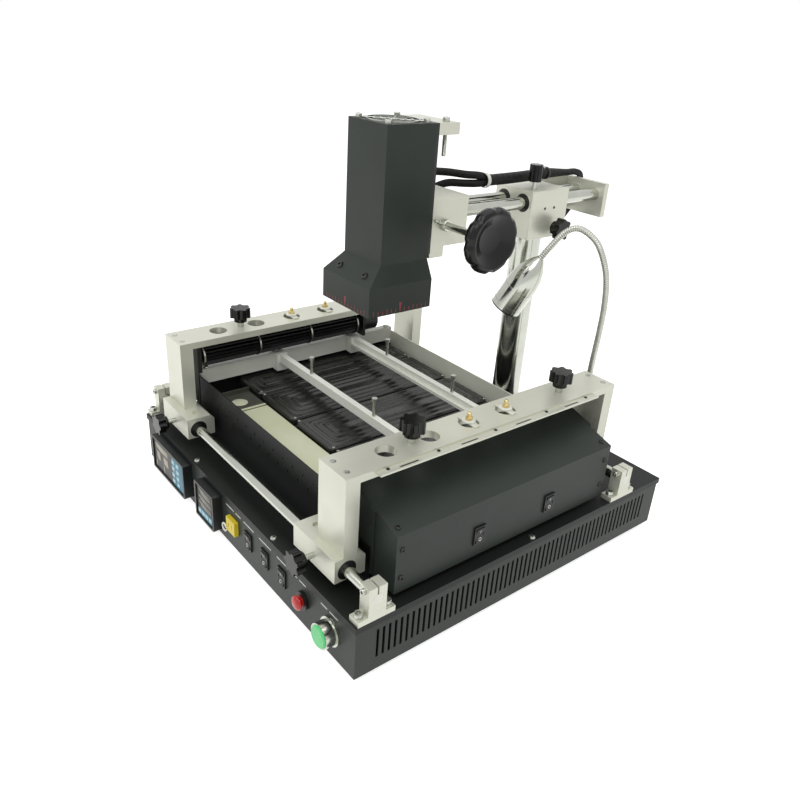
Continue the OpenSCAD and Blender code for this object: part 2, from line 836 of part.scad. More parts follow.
// Rail across the tray: the board's edge lies on its ledge, and end plates ride on the side bars
module board_rail(y, inward) {
    rail_l = 2 * bar_in - 2 * part_gap;
    reach = tray_w / 2 - sheet_t - part_gap;
    bottom = rail_top - rail_h;
    color(alloy) translate([0, y, 0]) {
        centred(rail_l, -rail_w / 2, bottom, rail_w, rail_h);
        centred(rail_l, inward > 0 ? 0 : -rail_w / 2 - rail_ledge_w, bottom,
            rail_w / 2 + rail_ledge_w, rail_ledge_h);
        for (side = [0, 1])
            mirror([side, 0, 0]) {
                block([rail_l / 2 - rail_end_l, -rail_end_w / 2, rail_top - rail_end_h],
                    [rail_end_l, rail_end_w, rail_end_h]);
                block([rail_l / 2 - over, -rail_end_w / 2, rail_top - rail_plate_t],
                    [reach - rail_l / 2 + over, rail_end_w, rail_plate_t]);
            }
        for (x = rail_pin_xs) {
            rod_z([x, 0, rail_top - over], rail_pin_d, rail_pin_h - rail_pin_head_h + over);
            rod_z([x, 0, rail_top + rail_pin_h - rail_pin_head_h], rail_pin_head_d, rail_pin_head_h);
        }
    }
}

module front_rail() {
    board_rail(front_rail_y, 1);
}

module rear_rail() {
    board_rail(rear_rail_y, -1);
}

// Guides

module guide_shafts() {
    color(steel)
        for (y = [shaft_front_y, shaft_rear_y])
            rod_x([-base_w / 2, y, shaft_z], shaft_d, base_w);
}

// Split clamp that holds a shaft's end: its foot on the cover, the shaft along X
module shaft_support() {
    rotate([90, 0, 90]) translate([0, 0, -support_l / 2]) difference() {
        linear_extrude(support_l) difference() {
            union() {
                translate([-support_w / 2, 0]) square([support_w, support_foot_t]);
                translate([-support_clamp_w / 2, 0]) square([support_clamp_w, shaft_rise + support_over]);
            }
            translate([-support_slit / 2, shaft_rise]) square([support_slit, support_over + over]);
        }
        translate([0, shaft_rise, -over]) cylinder(d = shaft_d + 2 * seat_gap, h = support_l + 2 * over);
        for (side = [-1, 1])
            translate([side * support_hole_span / 2, -over, support_l / 2])
                rotate([-90, 0, 0]) cylinder(d = support_hole_d, h = support_foot_t + 2 * over);
    }
}

module shaft_supports() {
    color(alloy)
        for (side = [-1, 1], y = [shaft_front_y, shaft_rear_y])
            translate([side * (base_w - support_l) / 2, y, base_top]) shaft_support();
}

// Carriages, drawn with +X outwards

// Place a carriage piece on the right or, mirrored, on the left
module on_right() {
    translate([right_x, 0, 0]) children();
}
module on_left() {
    mirror([1, 0, 0]) translate([left_x, 0, 0]) children();
}

module bearing_block(shaft_y, lock) {
    h = block_below + block_above;
    bottom = shaft_z - block_below;
    difference() {
        along_x(-block_l / 2, block_l) polygon([
            [shaft_y - block_front, bottom],
            [shaft_y + block_rear, bottom],
            [shaft_y + block_rear, block_top - block_chamfer],
            [shaft_y + block_rear - block_chamfer, block_top],
            [shaft_y - block_front, block_top]
        ]);
        rod_x([-block_l / 2 - over, shaft_y, shaft_z], bearing_d + 2 * seat_gap, block_l + 2 * over);
        rod_z([(post_in - block_l / 2) / 2, shaft_y + 4, block_top - 4], 9, h);
        if (lock)
            rod_y([0, shaft_y - block_front - over, shaft_z], lock_stud_d + 2 * run_gap, block_front);
    }
    for (x = [-block_l / 2, block_l / 2 - bearing_l])
        difference() {
            rod_x([x, shaft_y, shaft_z], bearing_d, bearing_l);
            rod_x([x - over, shaft_y, shaft_z], shaft_d + 2 * run_gap, bearing_l + 2 * over);
        }
}

module carriage_blocks() {
    color(cream) {
        bearing_block(shaft_front_y, true);
        bearing_block(shaft_rear_y, false);
    }
}

module carriage_posts() {
    color(cream)
        for (y = [front_post_y, rear_post_y])
            block([post_in, y, block_top], [post_w, post_t, beam_bottom - block_top]);
}

module carriage_beam(stripped) {
    color(cream) difference() {
        union() {
            block([post_in, front_post_y, beam_bottom], [post_w, beam_l, beam_t]);
            if (stripped)
                block([block_l / 2 - over, housing_front, beam_bottom + beam_t / 2],
                    [strip_w + over, housing_rear - housing_front, strip_t]);
        }
        for (i = [0 : 3])
            rod_z([beam_x, beam_hole_y + i * beam_hole_pitch, beam_bottom - over],
                beam_hole_d, beam_t + 2 * over);
        for (y = knob_ys)
            rod_z([beam_x, y, beam_bottom - over], knob_stud_d + 2 * run_gap, beam_t + 2 * over);
        for (y = [front_post_y + post_t / 2, rear_post_y + post_t / 2], dx = [-11, 11])
            rod_z([beam_x + dx, y, beam_top - beam_t / 2], screw_hole_d, beam_t);
        if (stripped)
            for (i = [0 : 3])
                block([block_l / 2 + strip_w / 2, housing_front + 24 + i * 76, beam_bottom],
                    [strip_slit.x, strip_slit.y, beam_t]);
    }
}

module beam_knob(i) {
    color(black) translate([beam_x, knob_ys[i], beam_top])
        knob(knob_d, knob_h, knob_stud_d, knob_stud_l, beam_t - part_gap);
}

module lock_knob() {
    color(black) translate([0, shaft_front_y - block_front, shaft_z]) rotate([90, 0, 0])
        knob(knob_d, lock_knob_h, lock_stud_d, lock_stud_l, lock_hole_l);
}

// Cross-flow rotor along Y: blades held by rings, with a stub at each end
module cross_flow_rotor(x, z, d, y0, y1, segments, stub) {
    segment = (y1 - y0) / segments;
    blade_r = d / 2 - 0.6;
    blade_w = d * 0.17;
    along_y(y0, y1 - y0)
        for (i = [0 : blade_count - 1])
            translate([x, z]) rotate(360 * i / blade_count) translate([blade_r - blade_w, 0])
                rotate(28) translate([0, -blade_t / 2]) square([blade_w, blade_t]);
    for (i = [0 : segments])
        difference() {
            rod_y([x, i == segments ? y1 - ring_t : y0 + i * segment, z], d, ring_t);
            if (i > 0 && i < segments)
                rod_y([x, y0 + i * segment - over, z], d * 0.5, ring_t + 2 * over);
        }
    rod_y([x, y0 - stub, z], fan_stub_d, stub + over);
    rod_y([x, y1 - over, z], fan_stub_d, stub + over);
}

// Motor can with a socket for the rotor's stub
module fan_motor(x, z, d, y0, l, socket) {
    difference() {
        union() {
            rod_y([x, y0, z], d, l - 3);
            rod_y([x, y0 + l - 3, z], d * 0.6, 3);
        }
        rod_y([x, y0 - over, z], fan_stub_d + 2 * run_gap, socket + over);
    }
}

// Left fan

left_plate_front = left_fan_front - end_plate_gap - end_plate_t;
left_plate_rear = left_fan_rear + end_plate_gap;

module left_fan_casing() {
    inner_r = left_fan_r - part_gap;
    half = left_fan_r + casing_t;
    plate_z = left_fan_z - left_rotor_d / 2;
    color(black) on_left() {
        for (y = [left_plate_front, left_plate_rear])
            difference() {
                block([beam_x - half, y, plate_z], [2 * half, end_plate_t, beam_bottom - plate_z]);
                rod_y([beam_x, y - over, left_fan_z], fan_stub_d + 2 * run_gap, end_plate_t + 2 * over);
            }
        along_y(left_plate_front + end_plate_t, left_plate_rear - left_plate_front - end_plate_t) {
            translate([beam_x, left_fan_z]) intersection() {
                difference() {
                    circle(inner_r + casing_t);
                    circle(inner_r);
                }
                translate([casing_from, -half]) square([half, 2 * half]);
            }
            translate([beam_x + inner_r, left_fan_z]) square([casing_t, beam_bottom - left_fan_z]);
        }
    }
}

module left_fan_motor() {
    color(black) on_left()
        fan_motor(beam_x, left_fan_z, motor_d, left_plate_rear + end_plate_t, motor_l, 10);
}

module left_fan_rotor() {
    color("#232324") on_left()
        cross_flow_rotor(beam_x, left_fan_z, left_rotor_d, left_fan_front, left_fan_rear, left_segments,
            end_plate_gap + end_plate_t);
}

// Right fan

// Section of the housing: a slab beside the tray, under a roof that reaches in over it
housing_outline = [
    [slab_in, housing_bottom],
    [slab_out, housing_bottom],
    [slab_out, housing_side_top],
    [housing_lip_x, housing_lip_z + housing_lip_h],
    [housing_lip_x, housing_lip_z],
    [slab_in, housing_lip_z]
];

// Hollow of the housing: it leaves the roof as a bare sheet, with the outlet below it
function housing_hollow(t) = [
    [slab_in + t, housing_bottom + t],
    [slab_out - t, housing_bottom + t],
    [slab_out - t, housing_side_top - t],
    [housing_lip_x - over, housing_lip_z + housing_lip_h - t],
    [housing_lip_x - over, housing_wall_top],
    [slab_in + t, housing_wall_top]
];

module right_fan_housing() {
    inner_front = housing_front + sheet_t;
    inner_l = housing_rear - housing_front - 2 * sheet_t;
    cut = rocker_cut();
    color(charcoal) on_right() {
        difference() {
            union() {
                difference() {
                    along_y(housing_front, housing_rear - housing_front) polygon(housing_outline);
                    along_y(inner_front, inner_l) polygon(housing_hollow(sheet_t));
                }
                rod_y([right_fan_x, inner_front - sheet_t / 2, right_fan_z], right_boss_d, right_boss_l);
            }
            rod_y([right_fan_x, inner_front, right_fan_z], fan_stub_d + 2 * run_gap, right_boss_l + over);
            for (y = switch_ys)
                block([slab_out - 2 * sheet_t, y - cut.x / 2 - part_gap, switch_z - cut.y / 2 - part_gap],
                    [4 * sheet_t, cut.x + 2 * part_gap, cut.y + 2 * part_gap]);
        }
        for (y = [housing_front + 4, housing_rear - 4 - hanger_w])
            difference() {
                block([post_in + 4, y, housing_lip_z + housing_lip_h / 2],
                    [hanger_t, hanger_w, beam_bottom - housing_lip_z - housing_lip_h / 2]);
                along_y(housing_front, housing_rear - housing_front) polygon(housing_hollow(sheet_t / 2));
            }
    }
}

// Place a switch on the housing's outer face
module on_housing(i) {
    on_right() translate([slab_out, switch_ys[i], switch_z]) rotate([0, 0, 90]) children();
}

module fan_switch_bezels() {
    color(black)
        for (i = [0, 1])
            on_housing(i) rocker_bezel();
}

module fan_switch(i) {
    color(black) on_housing(i) rocker();
}

right_rotor_front = housing_front + sheet_t + right_boss_l + 1;
right_motor_front = housing_rear - sheet_t - right_motor_l;
right_rotor_rear = right_motor_front - 2;

module right_fan_motor() {
    color(black) on_right()
        fan_motor(right_fan_x, right_fan_z, right_motor_d, right_motor_front, right_motor_l, 10);
}

module right_fan_rotor() {
    color("#232324") on_right()
        cross_flow_rotor(right_fan_x, right_fan_z, right_rotor_d, right_rotor_front, right_rotor_rear, 3, 8);
}

// Lamp

module lamp_neck() {
    color(steel) {
        swept_tube(neck_route, neck_d, [0.6, -0.8, 0], 8, 3);
        translate(lamp_foot) cylinder(d = lamp_nut_d, h = lamp_nut_h, $fn = 6);
    }
}

// Turn +Z to point from the neck's end to the lamp's tip
module at_lamp() {
    from = neck_route[len(neck_route) - 1];
    way = lamp_tip - from;
    translate(from) rotate([0, acos(way.z / norm(way)), atan2(way.y, way.x)]) children();
}
lamp_l = norm(lamp_tip - neck_route[len(neck_route) - 1]);
lens_t = 3;
lens_sink = 2;

module lamp_head() {
    bore = lamp_d - 4;
    seat = lamp_l - lens_sink - lens_t;
    color(steel) at_lamp() rotate_extrude() polygon([
        [0, 0.2], [lamp_back_d / 2 - 1, 0.2], [lamp_back_d / 2, 2], [lamp_back_d / 2, 14],
        [lamp_d / 2 - 1, 30], [lamp_d / 2, 32], [lamp_d / 2, lamp_l], [bore / 2, lamp_l], [bore / 2, seat],
        [bore / 4, seat - 9], [0, seat - 9]
    ]);
}

module lamp_lens() {
    color("#f2f4f0") at_lamp() translate([0, 0, lamp_l - lens_sink - lens_t])
        cylinder(d = lamp_d - 4 - 2 * seat_gap, h = lens_t);
}

// Column and arm

module column() {
    color(steel) translate([0, column_y, base_top]) difference() {
        cylinder(d = column_d, h = column_top - base_top - part_gap);
        translate([0, 0, -over]) cylinder(d = column_d - 2 * column_wall, h = column_top);
    }
    color(cream) translate([0, column_y, base_top]) difference() {
        cylinder(d = flange_d, h = flange_h);
        translate([0, 0, -over]) cylinder(d = column_d + 2 * seat_gap, h = flange_h + 2 * over);
        for (a = [45 : 90 : 315])
            rotate(a) translate([(column_d + flange_d) / 4, 0, flange_h - 5])
                cylinder(d = screw_hole_d, h = flange_h);
    }
}

module arm_block() {
    color(cream) difference() {
        translate([0, arm_front + arm_d / 2, arm_bottom]) linear_extrude(arm_h) round_rect([arm_w, arm_d], 2);
        translate([0, column_y, arm_bottom - over])
            cylinder(d = column_d + 2 * run_gap, h = column_top - arm_bottom + over);
        for (side = [-1, 1])
            rod_y([side * arm_shaft_x, arm_front - over, arm_shaft_z],
                bush_d + 2 * seat_gap, arm_d + 2 * over);
        rod_x([column_d / 2 + 1, column_knob_y, column_knob_z], lock_stud_d + 2 * run_gap, arm_w);
        rod_z([arm_knob_x, arm_knob_y, arm_top - lock_hole_l - 0.5], lock_stud_d + 2 * run_gap, arm_h);
        rod_y([0, arm_rear - 10.5, gland_z], cable_d + 2 * part_gap, 20);
    }
    color(black) {
        for (side = [-1, 1], y = [arm_front, arm_rear - bush_l])
            difference() {
                rod_y([side * arm_shaft_x, y, arm_shaft_z], bush_d, bush_l);
                rod_y([side * arm_shaft_x, y - over, arm_shaft_z],
                    arm_shaft_d + 2 * run_gap, bush_l + 2 * over);
            }
        difference() {
            rod_y([0, arm_rear, gland_z], gland_d, gland_l);
            rod_y([0, arm_rear - over, gland_z], cable_d + 2 * part_gap, gland_l + 2 * over);
        }
    }
}

module column_lock_knob() {
    color(black) translate([arm_w / 2, column_knob_y, column_knob_z]) rotate([0, 90, 0])
        knob(knob_d, 16, lock_stud_d, 5, (arm_w - column_d) / 2 - 2);
}

module arm_lock_knob() {
    color(black) translate([arm_knob_x, arm_knob_y, arm_top]) {
        translate([0, 0, -lock_hole_l]) cylinder(d = lock_stud_d, h = lock_hole_l + arm_knob_stud + over);
        translate([0, 0, arm_knob_stud]) linear_extrude(arm_knob_h) lobed(arm_knob_d, 10, 3.6, 1);
    }
}

module arm_shafts() {
    front = housing_y0 + housing_d - shaft_socket_l;
    color(steel)
        for (side = [-1, 1])
            rod_y([side * arm_shaft_x, front, arm_shaft_z], arm_shaft_d,
                end_plate_front + arm_plate_t - front);
}

module arm_end_plate() {
    bottom = arm_top - arm_plate_h;
    side_x = -arm_w / 2 - side_plate_gap - side_plate_t;
    color(cream) difference() {
        union() {
            block([side_x, end_plate_front, bottom], [arm_w / 2 - side_x, arm_plate_t, arm_plate_h]);
            block([side_x, end_plate_front - side_plate_l, bottom],
                [side_plate_t, side_plate_l + over, arm_plate_h]);
        }
        for (side = [-1, 1])
            rod_y([side * arm_shaft_x, end_plate_front - over, arm_shaft_z], arm_shaft_d + 2 * seat_gap,
                arm_plate_t + 2 * over);
    }
}

// T-shaped section of the head's guide, grown by a gap
module tee_section(gap) {
    translate([-web_w / 2 - gap, back_y - over]) square([web_w + 2 * gap, web_d + 2 * over]);
    translate([-tee_w / 2 - gap, tee_y - gap]) square([tee_w + 2 * gap, tee_d + 2 * gap]);
}

module slide_housing() {
    cavity_l = pinion_l + 4;
    color(cream) difference() {
        union() {
            centred(housing_w, housing_y0, housing_z0, housing_d, housing_h);
            centred(housing_lip.x, housing_y0, housing_z0 - housing_lip.z,
                housing_lip.y, housing_lip.z + over);
        }
        translate([0, 0, housing_z0 - housing_lip.z - over])
            linear_extrude(housing_h + housing_lip.z + 2 * over) tee_section(slide_gap);
        centred(rack_w + 1, rack_y, housing_z0 - housing_lip.z - over,
            2.25 * gear_module + 0.5, housing_h + housing_lip.z + 2 * over);
        rod_x([-cavity_l / 2, pinion_y, pinion_z], 2 * (pinion_r + gear_module) + 1.2, cavity_l);
        rod_x([-cavity_l / 2 - 8, pinion_y, pinion_z], pinion_shaft_d + 2 * run_gap, housing_w);
        for (side = [-1, 1])
            rod_y([side * arm_shaft_x, housing_y0 + housing_d - shaft_socket_l - part_gap, arm_shaft_z],
                arm_shaft_d + 2 * seat_gap, housing_d);
    }
}

// Involute pinion outline: one tooth points along -X
function inv(a) = tan(a) * 180 / PI - a;
base_r = pinion_r * cos(pressure);
tooth_half = (PI * gear_module / 2 - backlash) / 2 / pinion_r * 180 / PI;
function flank(r) = tooth_half + inv(pressure) - inv(acos(min(base_r / r, 1)));
module pinion_outline() {
    root_r = pinion_r - 1.25 * gear_module;
    tip_r = pinion_r + gear_module;
    steps = [for (i = [0 : 4]) base_r + (tip_r - base_r) * i / 4];
    polygon([for (k = [0 : pinion_teeth - 1])
        let (a = 180 + 360 * k / pinion_teeth)
        each concat(
            [root_r * [cos(a - flank(base_r)), sin(a - flank(base_r))]],
            [for (r = steps) r * [cos(a - flank(r)), sin(a - flank(r))]],
            [for (i = [4 : -1 : 0]) steps[i] * [cos(a + flank(steps[i])), sin(a + flank(steps[i]))]],
            [root_r * [cos(a + flank(base_r)), sin(a + flank(base_r))]]
        )]);
}

// Handwheel with its shaft and pinion
module handwheel() {
    shaft_start = -pinion_l / 2 - 8;
    rim_x = wheel_x + wheel_hub_l;
    color(steel) {
        translate([0, pinion_y, pinion_z]) along_x(-pinion_l / 2, pinion_l) pinion_outline();
        rod_x([shaft_start, pinion_y, pinion_z], pinion_shaft_d, rim_x + wheel_socket_l - shaft_start);
    }
    color(black) translate([0, pinion_y, pinion_z]) difference() {
        union() {
            rod_x([wheel_x, 0, 0], wheel_hub_d, wheel_hub_l + over);
            along_x(rim_x, wheel_t) lobed(wheel_d, wheel_lobes, wheel_scallop_d, wheel_scallop_depth);
        }
        rod_x([wheel_x - over, 0, 0], pinion_shaft_d + 2 * seat_gap,
            wheel_hub_l + wheel_socket_l + over + part_gap);
        translate([rim_x + wheel_t - wheel_dish_h, 0, 0]) rotate([0, 90, 0])
            cylinder(d1 = wheel_d / 2, d2 = wheel_d - 2 * wheel_scallop_depth - wheel_rim_t,
                h = wheel_dish_h + over);
    }
}

// Head

// Outer or inner form of the head: a duct that flares to a hood
module head_form(t, below, above) {
    flare_z = head_bottom + hood_h;
    neck_z = flare_z + flare_h;
    top = head_top - above;
    bottom = head_bottom - below;
    intersection() {
        along_x(-hood_w, 2 * hood_w) polygon([
            [head_rear - t, bottom], [head_rear - t, top], [head_front + t, top], [head_front + t, neck_z],
            [hood_front + t, flare_z], [hood_front + t, bottom]
        ]);
        along_y(hood_front - over, hood_d + 2 * over) polygon([
            [hood_w / 2 - t, bottom], [hood_w / 2 - t, flare_z],
            [duct_w / 2 - t, neck_z], [duct_w / 2 - t, top],
            [t - duct_w / 2, top], [t - duct_w / 2, neck_z],
            [t - hood_w / 2, flare_z], [t - hood_w / 2, bottom]
        ]);
    }
}

module head_housing() {
    color(charcoal) difference() {
        head_form(0, 0, 0);
        head_form(sheet_t, over, sheet_t);
        rod_z([0, fan_y, head_top - 2 * sheet_t], head_fan_bore, 4 * sheet_t);
    }
    color(black)
        for (z = head_gland_zs)
            difference() {
                rod_x([-duct_w / 2 - head_gland_l, head_gland_y, z], head_gland_d, head_gland_l);
                rod_x([-duct_w / 2 - head_gland_l - over, head_gland_y, z], strand_d + 2 * part_gap,
                    head_gland_l + 2 * over);
            }
}

module head_back_plate() {
    color(black) centred(duct_w, head_rear, guide_bottom, back_t, head_top - guide_bottom);
}

module head_guide() {
    top = head_top - top_plate_t;
    pitch = PI * gear_module;
    half_root = pitch / 4 + 1.25 * gear_module * tan(pressure) - backlash / 2;
    half_tip = pitch / 4 - gear_module * tan(pressure) - backlash / 2;
    depth = 2.25 * gear_module;
    first = ceil((guide_bottom + pitch - pinion_z) / pitch);
    last = floor((top - pitch - pinion_z) / pitch);
    color(steel) {
        translate([0, 0, guide_bottom]) linear_extrude(top - guide_bottom) difference() {
            tee_section(0);
            translate([-tee_w, back_y - 2 * over]) square([2 * tee_w, 2 * over]);
        }
        along_x(-rack_w / 2, rack_w) polygon(concat(
            [[rack_y - over, pinion_z + (first - 0.5) * pitch]],
            [for (k = [first : last - 1])
                let (z = pinion_z + (k + 0.5) * pitch)
                each [[rack_y, z - half_root], [rack_y + depth, z - half_tip],
                    [rack_y + depth, z + half_tip], [rack_y, z + half_root]]],
            [[rack_y - over, pinion_z + (last + 0.5) * pitch]]
        ));
        rod_z([20, back_y + 6, top - stop_rod_l], stop_rod_d, stop_rod_l);
    }
    color(cream) centred(duct_w, back_y, top, top_plate_d, top_plate_t);
}

module head_fan_frame() {
    guard_z = head_top + guard_wire / 2;
    hole = head_fan_w / 2 - 5;
    color(black) translate([0, fan_y, head_fan_z]) {
        difference() {
            linear_extrude(head_fan_h) round_rect([head_fan_w, head_fan_w], 3);
            translate([0, 0, -over]) cylinder(d = head_fan_bore, h = head_fan_h + 2 * over);
        }
        cylinder(d = head_fan_hub_d, h = 3);
        for (a = [45 : 90 : 315])
            rotate(a) translate([head_fan_hub_d / 2 - over, -1.5, 0])
                cube([head_fan_bore / 2 - head_fan_hub_d / 2 + 2 * over, 3, 2]);
    }
    color(steel) translate([0, fan_y, guard_z]) {
        for (i = [1 : guard_rings])
            rotate_extrude() translate([i * head_fan_bore / 2 / guard_rings - guard_wire / 2, 0])
                square(guard_wire, center = true);
        for (a = [45, 135])
            rotate(a) rod_x([-hole * sqrt(2), 0, 0], guard_wire, 2 * hole * sqrt(2));
    }
}

module head_fan_rotor() {
    blades = 7;
    blade_l = head_fan_bore / 2 - head_fan_hub_d / 2 - 1;
    color("#232324") translate([0, fan_y, head_fan_z + 4]) {
        cylinder(d = head_fan_hub_d, h = head_fan_h - 5);
        for (i = [0 : blades - 1])
            rotate(360 * i / blades) translate([head_fan_hub_d / 2 - over, 0, 4.5])
                rotate([35, 0, 0]) translate([0, -6, -0.6]) cube([blade_l + over, 12, 1.2]);
    }
}

module top_heater() {
    sink = 5;
    middle_y = (hood_front + head_rear) / 2;
    color("#262627") translate([0, middle_y, head_bottom + sink]) {
        linear_extrude(heater_t) round_rect([top_heater_w, top_heater_w], 4);
        for (sx = [-1, 1])
            translate([sx * (top_heater_w / 2 + 0.4) - 1.2, -8, 2])
                cube([2.4, 16, heater_t - 4]);
    }
}

// Cable from the head, over the arm block, to the gland on its back
module head_cable() {
    color(black) {
        swept_tube(upper_strand, strand_d, [1, 0, 0], 8, 3);
        swept_tube(lower_strand, strand_d, [1, 0, 0], 8, 3);
        swept_tube(bundle_route, cable_d, [1, 0, 0], 10, 2);
    }
}

// Shift the object so that its middle, front to back, lies over the origin
module placed() {
    translate([0, -origin_y, 0]) children();
}

placed() base_shell();
placed() top_cover();
placed() rubber_feet();
placed() power_unit();
placed() large_controller();
placed() small_controller();
placed() thermocouple_socket();
placed() panel_bezels();
placed() panel_rocker(0);  // panel_rocker_1
placed() panel_rocker(1);  // panel_rocker_2
placed() panel_rocker(2);  // panel_rocker_3
placed() red_button();
placed() green_button();
placed() heater_tray();
placed() tray_liner();
placed() side_bars();
placed() heater_plates();
placed() front_rail();
placed() rear_rail();
placed() guide_shafts();
placed() shaft_supports();
placed() on_left() carriage_blocks();  // left_blocks
placed() on_left() carriage_posts();  // left_posts
placed() on_left() carriage_beam(false);  // left_beam
placed() left_fan_casing();
placed() left_fan_motor();
placed() left_fan_rotor();
placed() on_left() beam_knob(0);  // left_knob_front
placed() on_left() beam_knob(1);  // left_knob_rear
placed() on_left() lock_knob();  // left_lock_knob
placed() on_right() carriage_blocks();  // right_blocks
placed() on_right() carriage_posts();  // right_posts
placed() on_right() carriage_beam(true);  // right_beam
placed() right_fan_housing();
placed() fan_switch_bezels();
placed() right_fan_motor();
placed() right_fan_rotor();
placed() on_right() beam_knob(0);  // right_knob_front
placed() on_right() beam_knob(1);  // right_knob_rear
placed() on_right() lock_knob();  // right_lock_knob
placed() fan_switch(0);  // fan_switch_front
placed() fan_switch(1);  // fan_switch_rear
placed() lamp_neck();
placed() lamp_head();
placed() lamp_lens();
placed() column();
placed() arm_block();
placed() arm_shafts();
placed() arm_end_plate();
placed() slide_housing();
placed() handwheel();
placed() column_lock_knob();
placed() arm_lock_knob();
placed() head_cable();
placed() head_housing();
placed() head_back_plate();
placed() head_guide();
placed() head_fan_frame();
placed() head_fan_rotor();
placed() top_heater();
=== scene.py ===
"""Dresses the solids of an infrared rework station: finishes, small parts, lamp, cable and studio."""

